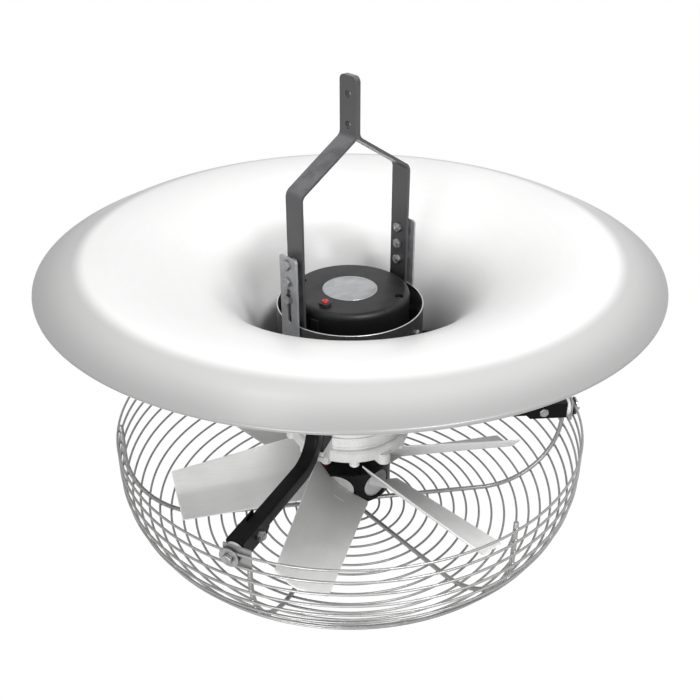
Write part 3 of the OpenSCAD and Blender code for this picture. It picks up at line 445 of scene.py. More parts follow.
def make_finishes(scene):
    """All the finishes, named for the record's material slots."""
    motor, hanger, arms = scene.fan_motor, scene.fan_hanger, scene.fan_arms
    finishes.update({
        "hanger_steel": coat("hanger_paint", hanger.paint, grain=700.0, depth=0.00004, rough=0.36, edge_wear_and_light_tone=2.2,
                             dust_and_top_light=1.75, metallic=0.35),
        "strap_zinc": galvanised("strap_zinc", hanger.zinc),
        "fastener_zinc": bright_metal("fastener_zinc", (0.36, 0.36, 0.365), rough=0.4),
        "spacer_steel": bright_metal("spacer_steel", (0.42, 0.42, 0.425), rough=0.42),
        "sleeve_steel": rolled_sheet("sleeve_sheet", hanger.sleeve),
        "cap_plastic": coat("cap_moulding", motor.cap, grain=1400.0, depth=0.00009, rough=0.4, edge_wear_and_light_tone=1.8,
                            dust_and_top_light=2.4, specular_ior_level=0.25),
        "label_foil": bare_foil("label_foil", motor.foil),
        "plug_red": coat("plug_red", motor.red, grain=1200.0, depth=0.00002, rough=0.3, edge_wear_and_light_tone=1.25, dust_and_top_light=1.1),
        "seal_rubber": coat("seal_rubber", (0.022, 0.022, 0.022), grain=900.0, depth=0.00006, rough=0.6,
                            edge_wear_and_light_tone=1.3, dust_and_top_light=1.8),
        "housing_alu": casting("housing_casting", motor.casting),
        "bearing_steel": bright_metal("bearing_ground", (0.6, 0.6, 0.6), rough=0.25),
        "disc_white": moulded_white("disc_moulding", scene.fan_disc.white),
        "arm_black": coat("arm_powder", arms.black, grain=1100.0, depth=0.00007, rough=0.36, edge_wear_and_light_tone=2.6,
                          dust_and_top_light=1.5, specular_ior_level=0.1),
        "spacer_white": coat("spacer_white", (0.74, 0.74, 0.73), grain=1000.0, depth=0.00003, rough=0.4,
                             edge_wear_and_light_tone=1.1, dust_and_top_light=0.95),
        "guard_white": coat("guard_powder", scene.fan_guard.white, grain=1100.0, depth=0.00005, rough=0.3,
                            edge_wear_and_light_tone=1.25, dust_and_top_light=1.0, metallic=0.5),
        "shaft_steel": bright_metal("shaft_turned", (0.6, 0.6, 0.61), rough=0.28, turned=True),
        "hub_black": coat("hub_moulding", (0.008, 0.008, 0.008), grain=1300.0, depth=0.00007, rough=0.4,
                          edge_wear_and_light_tone=2.2, dust_and_top_light=1.9, specular_ior_level=0.12),
        "screw_black": coat("screw_black", (0.03, 0.03, 0.031), grain=1500.0, depth=0.00003, rough=0.35,
                            edge_wear_and_light_tone=2.4, dust_and_top_light=1.6, metallic=0.6),
        "blade_grey": painted_sheet("blade_paint", scene.fan_blades.grey),
    })


# shapes

FLAT = 0.6            # degrees between faces that count as one
WELD = 0.02 * MM      # distance at which vertices join
ON_AXIS = 1e-6        # radius that stands for a point on the axis


def add_piece(name, verts, faces, slot, nodes=(), body=STILL, crease=35.0, edge_faces=()):
    """A new mesh piece that rides on a body and stands for CAD nodes."""
    mesh = bpy.data.meshes.new(name)
    mesh.from_pydata([tuple(v) for v in verts], [], faces)
    mesh.validate()
    tidy = bmesh.new()
    tidy.from_mesh(mesh)
    bmesh.ops.recalc_face_normals(tidy, faces=tidy.faces)
    tidy.to_mesh(mesh)
    tidy.free()
    if len(edge_faces):
        layer = mesh.attributes.new("edge", "FLOAT", "FACE")
        layer.data.foreach_set("value", np.asarray(edge_faces, np.float32))
    place_piece(name, mesh, slot, nodes, body, crease)


def place_piece(name, mesh, slot, nodes, body, crease):
    """Puts a mesh in the scene as a piece."""
    mesh.shade_smooth()
    mesh.set_sharp_from_angle(angle=math.radians(crease))
    mesh.materials.clear()
    mesh.materials.append(finishes[slot])
    piece = bpy.data.objects.new(name, mesh)
    bpy.context.scene.collection.objects.link(piece)
    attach(piece, body)
    if nodes:
        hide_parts(*nodes)
    return piece


def welded(node):
    """A node's CAD mesh as an editable copy with joined vertices."""
    copy = bmesh.new()
    copy.from_mesh(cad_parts[node].data)
    bmesh.ops.remove_doubles(copy, verts=copy.verts, dist=WELD)
    return copy


def round_edges(node, width, slot, body=STILL, segments=2, least=28.0):
    """Stands in for a CAD node with every cut edge rounded, at exactly the same place."""
    work = welded(node)
    bmesh.ops.dissolve_limit(work, angle_limit=math.radians(FLAT), verts=work.verts, edges=work.edges)
    sharp = [e for e in work.edges
             if len(e.link_faces) == 2 and e.calc_face_angle(0.0) > math.radians(least)]
    layer = work.faces.layers.float.new("edge")
    result = bmesh.ops.bevel(work, geom=sharp, offset=width, offset_type="OFFSET", segments=segments,
                             profile=0.5, affect="EDGES", clamp_overlap=True, loop_slide=True)
    for face in result["faces"]:
        face[layer] = 1.0
    bmesh.ops.triangulate(work, faces=[f for f in work.faces if len(f.verts) > 4])
    mesh = bpy.data.meshes.new(node + "_rounded")
    work.to_mesh(mesh)
    work.free()
    piece = place_piece(node + "_rounded", mesh, slot, [node], body, crease=40.0)
    piece.modifiers.new("even_shading", "WEIGHTED_NORMAL").keep_sharp = True


def dress(node, slot):
    """Gives a carried-over CAD node its finish."""
    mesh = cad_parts[node].data
    mesh.materials.clear()
    mesh.materials.append(finishes[slot])


class Pile:
    """Vertices and faces of several shapes in one mesh."""

    def __init__(self):
        self.verts, self.faces = [], []

    def add(self, verts, faces, matrix=None):
        """Adds one shape, moved by a matrix."""
        start = len(self.verts)
        self.verts += [matrix @ Vector(v) for v in verts] if matrix else list(verts)
        self.faces += [tuple(start + i for i in face) for face in faces]


def skin(rings, close_ends=False, wrap=False):
    """Joins rings of equal length with four-sided faces."""
    n = len(rings[0])
    verts = [v for ring in rings for v in ring]
    faces = []
    for i in range(len(rings) if wrap else len(rings) - 1):
        a, b = i * n, (i + 1) % len(rings) * n
        for j in range(n):
            k = (j + 1) % n
            faces.append((a + j, a + k, b + k, b + j))
    if close_ends:
        faces += [tuple(range(n - 1, -1, -1)), tuple(range(len(verts) - n, len(verts)))]
    return verts, faces


def circle(radius, z, n):
    """A ring of points round the axis; radius and height may be functions of the angle."""
    turns = [2 * math.pi * i / n for i in range(n)]
    size = radius if callable(radius) else lambda a: radius
    height = z if callable(z) else lambda a: z
    return [(size(a) * math.cos(a), size(a) * math.sin(a), height(a)) for a in turns]


def revolve(profile, n):
    """Turns a closed profile of radius and height pairs about the vertical axis."""
    return skin([circle(r, z, n) for r, z in profile], wrap=True)


def spin(profile, n):
    """Turns an open profile about the axis and closes both its ends."""
    return skin([circle(r or ON_AXIS, z, n) for r, z in profile], close_ends=True)


def islands(node):
    """The points of each separate solid in a CAD node."""
    work = welded(node)
    seen, found = set(), []
    for start in work.verts:
        if start.index in seen:
            continue
        seen.add(start.index)
        stack, part = [start], []
        while stack:
            vert = stack.pop()
            part.append(tuple(vert.co))
            for edge in vert.link_edges:
                other = edge.other_vert(vert)
                if other.index not in seen:
                    seen.add(other.index)
                    stack.append(other)
        found.append(np.array(part))
    work.free()
    return sorted(found, key=lambda p: tuple(np.round(p.mean(0), 4)))


def axis_of(points, way):
    """Unit direction for a fastener: out, left, right, up or down."""
    middle = (points.min(0) + points.max(0)) / 2
    out = Vector((middle[0], middle[1], 0.0)).normalized()
    across = Vector((-out.y, out.x, 0.0))
    return {"out": out, "left": across, "right": -across, "up": Vector((0, 0, 1)),
            "down": Vector((0, 0, -1))}[way]


def seat_of(points, axis):
    """Matrix with Z along the axis at the low end of a solid, and the solid's length along it."""
    side = Vector((0, 0, 1)) if abs(axis.z) < 0.5 else Vector((1, 0, 0))
    x = axis.cross(side).normalized()
    y = axis.cross(x).normalized()
    across, along, up = (points @ np.array(d) for d in (x, y, axis))
    matrix = Matrix((x, y, axis)).transposed().to_4x4()
    matrix.translation = (x * ((across.min() + across.max()) / 2) + y * ((along.min() + along.max()) / 2)
                          + axis * up.min())
    return matrix, up.max() - up.min()


HEX_STEPS = 48             # points round a bolt or nut
WASHER_STEPS = 64          # points round a washer or spacer
THREAD_STEPS = 5           # rings in one turn of thread
THREADED = 12 * MM         # most of a bolt that is threaded
THREAD_LOSS = 0.04 * MM    # how far the thread's crests stay inside the bolt's radius
TURN_STEP = 37             # degrees from one fastener's turn to the next
HEX_TURN = 60              # degrees after which a hexagon looks the same


def hexagon(af):
    """Half the width over flats, and at an angle a hexagon's radius and its chamfer's drop."""
    flat = af / 2 * 0.985
    wave = lambda a: flat / math.cos((a + math.pi / 6) % (math.pi / 3) - math.pi / 6)
    return flat, wave, lambda a: (wave(a) - flat * 0.97) * 0.58


def hex_bolt(total, d, af, head, pitch=1.25 * MM):
    """A hexagon bolt: threaded end at z = 0, chamfered head at the top."""
    r, depth, seat = d / 2 - THREAD_LOSS, 0.07 * d, total - head
    profile = [(d / 2 * 0.72, 0.0)]
    rise = pitch / THREAD_STEPS
    steps = int(min(THREADED, seat * 0.6) / rise)
    for i in range(steps):
        z = 0.4 * MM + i * rise
        cut = depth * min(1.0, i / 8, (steps - i) / 8)
        thread = lambda a, z=z, cut=cut: r - cut * abs((z / pitch + a / (2 * math.pi)) % 1.0 * 2 - 1)
        profile.append((thread, z))
    flat, wave, drop = hexagon(af)
    profile += [(r, seat - 0.4 * MM), (r, seat), (flat * 0.94, seat), (flat * 0.95, seat + 0.35 * MM),
                (lambda a: wave(a) * 0.985, seat + 0.4 * MM), (wave, seat + 0.75 * MM),
                (wave, lambda a: total - drop(a) - 0.15 * MM), (flat * 0.97, total - 0.12 * MM),
                (flat * 0.9, total), (flat * 0.62, total - 0.02 * MM), (flat * 0.56, total - 0.22 * MM)]
    return spin(profile, HEX_STEPS)


def hex_nut(height, d, af):
    """A hexagon nut with both faces chamfered, standing on z = 0."""
    bore, chamfer = d / 2 + 0.06 * MM, 0.5 * MM
    flat, wave, drop = hexagon(af)
    return revolve([(bore + chamfer, 0), (flat * 0.93, 0), (flat * 0.97, 0.1 * MM),
                    (wave, lambda a: 0.12 * MM + drop(a)), (wave, lambda a: height - 0.12 * MM - drop(a)),
                    (flat * 0.97, height - 0.1 * MM), (flat * 0.93, height), (bore + chamfer, height),
                    (bore, height - chamfer), (bore, chamfer)], HEX_STEPS)


def hollow(height, r_in, r_out, c=0.4 * MM):
    """A washer or spacer with its edges broken by c, standing on z = 0."""
    return revolve([(r_in + c, 0), (r_out - c, 0), (r_out, c), (r_out, height - c), (r_out - c, height),
                    (r_in + c, height), (r_in, height - c), (r_in, c)], WASHER_STEPS)


def fasteners(node, way, slot, shape, *sizes, body=STILL):
    """Remakes every solid of a fastener node at its own place and length, each turned a little."""
    pile = Pile()
    for i, points in enumerate(islands(node)):
        matrix, total = seat_of(points, axis_of(points, way))
        turn = Matrix.Rotation(math.radians(i * TURN_STEP % HEX_TURN), 4, "Z")
        pile.add(*shape(total, *sizes), matrix @ turn)
    add_piece(node + "_detailed", pile.verts, pile.faces, slot, [node], body, crease=32.0)


def mitres(path):
    """Side directions of a flat path, mitred at its corners."""
    points = np.array(path, float)
    ahead = np.diff(points, axis=0)
    ahead /= np.linalg.norm(ahead, axis=1)[:, None]
    left = np.stack([-ahead[:, 1], ahead[:, 0]], 1)
    before = np.vstack([left[:1], left])
    after = np.vstack([left, left[-1:]])
    return (before + after) / (1 + (before * after).sum(1))[:, None]


def shifted(path, distance):
    """A flat path moved sideways."""
    return [tuple(p) for p in np.array(path, float) + distance * mitres(path)]


def arc(centre, radius, start, end, steps):
    """Points on a flat arc, in degrees."""
    return [(centre[0] + radius * math.cos(math.radians(start + (end - start) * i / steps)),
             centre[1] + radius * math.sin(math.radians(start + (end - start) * i / steps)))
            for i in range(steps + 1)]


def rounded_square(side, corner, steps=5):
    """Outline of a square bar with round corners."""
    inner = side / 2 - corner
    return [point for k, (sx, sy) in enumerate(((1, 1), (-1, 1), (-1, -1), (1, -1)))
            for point in arc((sx * inner, sy * inner), corner, 90 * k, 90 * k + 90, steps)]


def sweep(path, outline, turn):
    """Rings of an outline carried along a path in an upright plane, which is then turned."""
    c, s = math.cos(turn), math.sin(turn)
    return [[((x + u * dx) * c - v * s, (x + u * dx) * s + v * c, z + u * dz) for u, v in outline]
            for (x, z), (dx, dz) in zip(path, mitres(path))]


# pieces

NUT = (8 * MM, 13 * MM)                          # thread's diameter, width over flats
BOLT = (*NUT, 5.3 * MM)                          # the same, and the head's height
HUB_SCREW = (10 * MM, 16 * MM, 6.4 * MM)
SHIELD_SCREW = (6 * MM, 10 * MM, 4 * MM, 1 * MM)  # the same, and the thread's pitch
BORE = 4.2 * MM                                  # radius of a hole for a bolt


class Repeatable:
    """What the fan's operators share."""
    bl_options = {"REGISTER", "UNDO"}


class FAN_OT_hanger(Repeatable, bpy.types.Operator):
    """Rounds the edges of the hanger strips and of the slotted straps"""
    bl_idname = "fan.hanger"
    bl_label = "Hanger"

    def execute(self, context):
        """Hanger strips and straps."""
        edge = context.scene.fan_hanger.edge
        for side in ("right", "left"):
            round_edges("hanger_strip_" + side, edge, "hanger_steel")
            round_edges("slotted_strap_" + side, edge * 0.6, "strap_zinc")
        return {"FINISHED"}


class FAN_OT_fasteners(Repeatable, bpy.types.Operator):
    """Makes the bolts, nuts, washers and spacers"""
    bl_idname = "fan.fasteners"
    bl_label = "Fasteners"

    def execute(self, context):
        """Every fastener that stands still."""
        for node in ("strap_bolts", "leg_bolts", "arm_bolts", "end_bolts"):
            fasteners(node, "out", "fastener_zinc", hex_bolt, *BOLT)
        fasteners("cross_bolts", "right", "fastener_zinc", hex_bolt, *BOLT)
        for node in ("strap_nuts", "arm_nuts", "end_nuts"):
            fasteners(node, "out", "fastener_zinc", hex_nut, *NUT)
        fasteners("cross_nuts", "left", "fastener_zinc", hex_nut, *NUT)
        fasteners("shield_screws", "down", "fastener_zinc", hex_bolt, *SHIELD_SCREW)
        fasteners("strap_spacers", "out", "spacer_steel", hollow, BORE, 7 * MM)
        fasteners("end_spacers", "out", "spacer_white", hollow, 6.5 * MM, 14 * MM, 1.1 * MM)
        fasteners("end_washers", "out", "fastener_zinc", hollow, BORE, 14 * MM, 0.25 * MM)
        round_edges("sleeve_screws", 0.35 * MM, "fastener_zinc")
        return {"FINISHED"}


class FAN_OT_sleeve(Repeatable, bpy.types.Operator):
    """Makes the rolled steel sleeve round the motor"""
    bl_idname = "fan.sleeve"
    bl_label = "Sleeve"
    SIDES = 240
    WALL_STRIPS = (3, 9)

    def execute(self, context):
        """A band with broken edges. All but its outer and inner wall is rim."""
        low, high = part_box("sleeve")
        r, wall, lip = high.x, 2 * MM, 0.5 * MM
        inside, broken = r - wall, lip * 0.3
        profile = [(inside, low.z + lip), (inside + lip, low.z), (r - lip, low.z), (r, low.z + lip),
                   (r, high.z - lip), (r - broken, high.z - broken), (r - lip, high.z),
                   (inside + lip, high.z), (inside + broken, high.z - broken), (inside, high.z - lip)]
        verts, faces = revolve(profile, self.SIDES)
        rim = [0.0 if i // self.SIDES in self.WALL_STRIPS else 1.0 for i in range(len(faces))]
        add_piece("sleeve_rolled", verts, faces, "sleeve_steel", ["sleeve"], crease=60.0, edge_faces=rim)
        return {"FINISHED"}


class FAN_OT_motor_cap(Repeatable, bpy.types.Operator):
    """Makes the motor's moulded cap with its screws, bare foil disc and plug"""
    bl_idname = "fan.motor_cap"
    bl_label = "Motor cap"
    SIDES, FOIL_SIDES = 48, 128

    def execute(self, context):
        """Cap, screws, foil and plugs."""
        round_edges("motor_cap", 0.8 * MM, "cap_plastic", segments=3, least=40.0)
        fasteners("cap_screws", "up", "fastener_zinc", self.pan_screw)
        self.foil()
        round_edges("plug_collar", 0.7 * MM, "seal_rubber", segments=3)
        fasteners("cable_plug", "up", "plug_red", self.plug, 5 * MM)
        fasteners("drain_plug", "down", "plug_red", self.plug, 4 * MM)
        return {"FINISHED"}

    @classmethod
    def foil(cls):
        """The foil disc, with a groove pressed inside its rim."""
        low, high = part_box("cap_label")
        r, h = high.x, high.z - low.z
        middle = h - 0.04 * MM
        rim = [(r - inset * MM, h - drop * MM) for inset, drop in (
            (0, 0.2), (0.2, 0), (1.6, 0), (1.9, 0.2), (2.4, 0.25), (2.7, 0.08))]
        profile = [(0, 0), (r - 0.3 * MM, 0), (r, 0.2 * MM)] + rim + [(r * 0.5, middle), (0, middle)]
        foil = Pile()
        foil.add(*spin(profile, cls.FOIL_SIDES), Matrix.Translation((0, 0, low.z)))
        add_piece("cap_label_foil", foil.verts, foil.faces, "label_foil", ["cap_label"], crease=30.0)

    @classmethod
    def pan_screw(cls, total):
        """A round screw head with a driver recess."""
        r = 4.5 * MM
        slot = lambda a: r * (0.46 if math.cos(4 * a) > 0.1 else 0.2)
        return spin([(r, 0), (r, total * 0.55), (r * 0.93, total * 0.8), (r * 0.72, total * 0.95),
                     (r * 0.5, total), (slot, total), (lambda a: slot(a) * 0.92, total * 0.45)], cls.SIDES)

    @classmethod
    def plug(cls, total, r):
        """A moulded plug with a domed, grooved head."""
        grip = lambda a: r * (1.0 if math.cos(12 * a) > -0.3 else 0.965)
        return spin([(r, 0), (r, total * 0.45), (grip, total * 0.5), (grip, total * 0.82),
                     (r * 0.94, total * 0.9), (r * 0.78, total * 0.97), (r * 0.5, total), (r * 0.42, total),
                     (r * 0.36, total * 0.95)], cls.SIDES)


class FAN_OT_motor(Repeatable, bpy.types.Operator):
    """Rounds the housing and the end shield, and dresses the parts inside"""
    bl_idname = "fan.motor"
    bl_label = "Motor"

    def execute(self, context):
        """Castings, bearings and seal."""
        round_edges("motor_housing", 0.7 * MM, "housing_alu")
        round_edges("end_shield", 0.7 * MM, "housing_alu", segments=3)
        for node in ("bearing_upper", "bearing_lower"):
            dress(node, "bearing_steel")
        dress("shaft_seal", "seal_rubber")
        return {"FINISHED"}


class FAN_OT_disc(Repeatable, bpy.types.Operator):
    """Moulds the flow disc from its edge bead over the crown into the throat"""
    bl_idname = "fan.disc"
    bl_label = "Flow disc"
    SIDES = 288
    EDGE_STEPS, CONE_STEPS, CREASE_STEPS, LIP_STEPS, FUNNEL_STEPS, BEAD_STEPS = 12, 9, 20, 48, 56, 10
    FOOT_ROUND = 0.6 * MM

    def execute(self, context):
        """One smooth wall of revolution."""
        d = context.scene.fan_disc
        path = self.upper_side(d)
        half, foot_z = d.wall / 2, path[-1][1] - self.FOOT_ROUND
        foot = [(d.throat_radius + self.FOOT_ROUND, foot_z),
                (d.throat_radius + d.wall - self.FOOT_ROUND, foot_z)]
        bead = arc((d.radius - half, path[0][1]), half, -180, 0, self.BEAD_STEPS)[1:-1]
        verts, faces = revolve(path + foot + shifted(path, d.wall)[::-1] + bead, self.SIDES)
        add_piece("flow_disc_moulded", verts, faces, "disc_white", ["flow_disc"], crease=50.0)
        return {"FINISHED"}

    def upper_side(self, d):
        """Edge, cone, crease, crown, lip, funnel and throat as radius and height pairs."""
        slope, steep = d.lip_slope, 90 - math.degrees(d.outer_slope)
        crease = arc((d.crown_radius, d.crown_z - d.crease), d.crease, steep, 90, self.CREASE_STEPS)
        side = d.radius - d.edge_round
        fall = math.tan(d.outer_slope) * (side + d.edge_round * math.sin(d.outer_slope) - crease[0][0])
        edge_z = crease[0][1] - fall - d.edge_round * math.cos(d.outer_slope)
        path = arc((side, edge_z), d.edge_round, 0, steep, self.EDGE_STEPS)
        path += [tuple(p) for p in np.linspace(path[-1], crease[0], self.CONE_STEPS + 1)[1:-1]] + crease
        run = d.crown_radius - d.lip_radius
        for i in range(1, self.LIP_STEPS + 1):
            r = d.crown_radius - run * i / self.LIP_STEPS
            path.append((r, d.crown_z - math.tan(slope) * (d.crown_radius - r) ** 2 / (2 * run)))
        lip_z = path[-1][1]
        bend = (d.lip_radius - d.throat_radius) / (1 - math.sin(slope))
        for i in range(1, self.FUNNEL_STEPS + 1):
            a = slope + (math.pi / 2 - slope) * i / self.FUNNEL_STEPS
            path.append((d.lip_radius - bend * (math.sin(a) - math.sin(slope)),
                         lip_z - bend * (math.cos(slope) - math.cos(a))))
        throat_z = path[-1][1]
        return path + [(d.throat_radius, throat_z - d.throat_height * 0.5),
                       (d.throat_radius, throat_z - d.throat_height + self.FOOT_ROUND)]


class FAN_OT_arms(Repeatable, bpy.types.Operator):
    """Bends the square tube arms and makes their webs and end sleeves"""
    bl_idname = "fan.arms"
    bl_label = "Arms"
    BEND_STEPS = 24
    CUT = 0.6 * MM

    def execute(self, context):
        """Three arms with webs and sleeves."""
        a = context.scene.fan_arms
        outer = rounded_square(a.side, a.corner)
        inner = rounded_square(a.side - 2 * a.wall, a.corner * 0.4)
        for i in range(3):
            node = "arm_%d" % (i + 1)
            turn = a.turn + 2 * math.pi / 3 * i
            cloud = np.vstack(islands(node))
            out = cloud[:, 0] * math.cos(turn) + cloud[:, 1] * math.sin(turn)
            r, z = out.min() + a.side / 2, cloud[:, 2].min() + a.side / 2
            top, end = cloud[:, 2].max(), out.max()
            path = ([(r, top), (r, top - self.CUT)]
                    + arc((r + a.bend, z + a.bend), a.bend, 180, 270, self.BEND_STEPS)
                    + [(end - self.CUT, z), (end, z)])
            verts, faces = skin(sweep(path, outer, turn) + sweep(path, inner, turn)[::-1], wrap=True)
            add_piece(node + "_tube", verts, faces, "arm_black", [node], crease=40.0)
            round_edges("end_sleeve_%d" % (i + 1), 1.0 * MM, "arm_black", segments=3)
        round_edges("arm_webs", 0.8 * MM, "arm_black")
        return {"FINISHED"}


class FAN_OT_guard(Repeatable, bpy.types.Operator):
    """Makes the guard's rings, ribs, plates and weld beads"""
    bl_idname = "fan.guard"
    bl_label = "Guard"
    WIRE_SIDES, RIB_SIDES, BEND_STEPS = 14, 20, 40
    RING_SIDES, SIDES_PER_RING = 96, 8
    WELD_GAP, RIB_INSIDE, WALL_BAND = 0.1 * MM, 5 * MM, 20 * MM
    BEAD = (2.5 * MM, 1.35 * MM, 3.4 * MM)       # half sizes along the rib, inwards and along the ring
    BEAD_STEPS, WOBBLE, WOBBLE_STEP = 6, 0.12, 2.4

    def execute(self, context):
        """Wire rings on ribs, with a bead at every crossing."""
        g = context.scene.fan_guard
        flat = g.radius - g.bend
        in_floor = sum(1 for k in range(g.rings) if g.first + k * g.pitch < flat)
        for name, ks in (("guard_floor", range(in_floor)), ("guard_rings", range(in_floor, g.rings))):
            pile = Pile()
            for k in ks:
                r, z, _ = self.point(g, k)
                profile = [(r + u, z + v) for u, v in self.section(g.wire, self.WIRE_SIDES)]
                pile.add(*revolve(profile, self.RING_SIDES + self.SIDES_PER_RING * k))
            add_piece(name + "_wire", pile.verts, pile.faces, "guard_white", [name])
        off = (g.wire + g.rib) / 2 + self.WELD_GAP
        section = self.section(g.rib, self.RIB_SIDES)
        pile, beads = Pile(), Pile()
        for i, top in enumerate(self.rib_tops(g)):
            turn = g.turn + 2 * math.pi / g.ribs * i
            line = ([(g.first - self.RIB_INSIDE, g.floor_z + off), (flat, g.floor_z + off)]
                    + arc((flat, g.floor_z + g.bend), g.bend - off, -90, 0, self.BEND_STEPS)[1:]
                    + [(g.radius - off, top)])
            pile.add(*skin(self.round_ends(sweep(line, section, turn)), close_ends=True))
            for k in range(g.rings):
                if self.point(g, k)[1] <= top + g.wire:
                    self.bead(beads, g, k, turn, k * 7 + i)
        add_piece("guard_ribs_wire", pile.verts, pile.faces, "guard_white", ["guard_ribs"])
        add_piece("guard_weld_beads", beads.verts, beads.faces, "guard_white")
        round_edges("guard_plates", 0.6 * MM, "guard_white")
        return {"FINISHED"}

    @staticmethod
    def point(g, k):
        """Radius, height and slope of the guard's path at a ring."""
        s, flat, quarter = g.first + k * g.pitch, g.radius - g.bend, g.bend * math.pi / 2
        if s < flat:
            return s, g.floor_z, 0.0
        if s < flat + quarter:
            turn = (s - flat) / g.bend
            return flat + g.bend * math.sin(turn), g.floor_z + g.bend * (1 - math.cos(turn)), turn
        return g.radius, g.floor_z + g.bend + s - flat - quarter, math.pi / 2

    @staticmethod
    def section(d, n):
        """Outline of a round wire."""
        return [(d / 2 * math.cos(t), d / 2 * math.sin(t)) for t in (2 * math.pi * j / n for j in range(n))]

    @classmethod
    def rib_tops(cls, g):
        """The height of each rib's upper end, in order of turn."""
        tops = {}
        for points in islands("guard_ribs"):
            wall = points[np.hypot(points[:, 0], points[:, 1]) > g.radius - cls.WALL_BAND]
            turn = math.atan2(wall[:, 1].mean(), wall[:, 0].mean()) - g.turn
            tops[round(turn / (2 * math.pi / g.ribs)) % g.ribs] = float(points[:, 2].max())
        return [tops[i] for i in range(g.ribs)]

    @staticmethod
    def round_ends(rings):
        """A rib whose two ends are ground round."""
        def cap(ring, beyond):
            """Three rings that close in on an end."""
            middle = np.array(ring).mean(0)
            way = middle - np.array(beyond).mean(0)
            way /= np.linalg.norm(way)
            return [[tuple(middle + (np.array(p) - middle) * share - way * back) for p in ring]
                    for share, back in ((1.0, 1.1 * MM), (0.86, 0.35 * MM), (0.55, 0.0))]
        return cap(rings[0], rings[1])[::-1] + rings[1:-1] + cap(rings[-1], rings[-2])

    @classmethod
    def bead(cls, pile, g, k, turn, seed):
        """One small weld between a ring and a rib, drawn out along the ring on both sides."""
        r, z, slope = cls.point(g, k)
        inward = Vector((-math.sin(slope), 0.0, math.cos(slope)))
        along = Vector((math.cos(slope), 0.0, math.sin(slope)))
        middle = Vector((r, 0.0, z)) + inward * (g.wire / 2 + cls.WELD_GAP / 2)
        wobble = 1.0 + cls.WOBBLE * math.sin(seed * cls.WOBBLE_STEP)
        size = Vector((cls.BEAD[0] * wobble, cls.BEAD[1], cls.BEAD[2] * (2 - wobble)))
        rings = []
        for lat in (math.pi * j / cls.BEAD_STEPS for j in range(1, cls.BEAD_STEPS)):
            end = middle - Vector((0, size.z * math.cos(lat), 0))
            rings.append([end + along * (u * size.x * math.sin(lat)) + inward * (v * size.y * math.sin(lat))
                          for u, v in cls.section(2.0, cls.WIRE_SIDES)])
        pile.add(*skin(rings, close_ends=True), Matrix.Rotation(turn, 4, "Z"))


class FAN_OT_hub(Repeatable, bpy.types.Operator):
    """Rounds the hub's two halves and makes its screws"""
    bl_idname = "fan.hub"
    bl_label = "Hub"

    def execute(self, context):
        """Hub and screws, which turn, and the shaft's finish."""
        for half in ("hub_upper", "hub_lower"):
            round_edges(half, 1.0 * MM, "hub_black", TURNING, segments=3)
        round_edges("hub_bolts", 0.3 * MM, "screw_black", TURNING)
        fasteners("hub_washer", "up", "fastener_zinc", hollow, 5.2 * MM, 20 * MM, body=TURNING)
        fasteners("hub_screw", "down", "fastener_zinc", hex_bolt, *HUB_SCREW, body=TURNING)
        dress("shaft", "shaft_steel")
        return {"FINISHED"}


class FAN_OT_blades(Repeatable, bpy.types.Operator):
    """Lofts the twisted blades with their feet and webs"""
    bl_idname = "fan.blades"
    bl_label = "Blades"

    def execute(self, context):
        """All the blades from one loft."""
        b = context.scene.fan_blades
        shape = BladeShape(b)
        pile = Pile()
        edges = shape.sheet(pile)
        shape.foot(pile)
        shape.web(pile)
        edges += [0.0] * (len(pile.faces) - len(edges))
        for i in range(b.number):
            turn = b.turn + 2 * math.pi * i / b.number
            place = Matrix.Translation((0, 0, b.axis_z)) @ Matrix.Rotation(turn, 4, "Z")
            node = "blade_%d" % (i + 1)
            add_piece(node + "_sheet", [place @ Vector(v) for v in pile.verts], pile.faces, "blade_grey",
                      [node], TURNING, crease=50.0, edge_faces=edges)
        return {"FINISHED"}


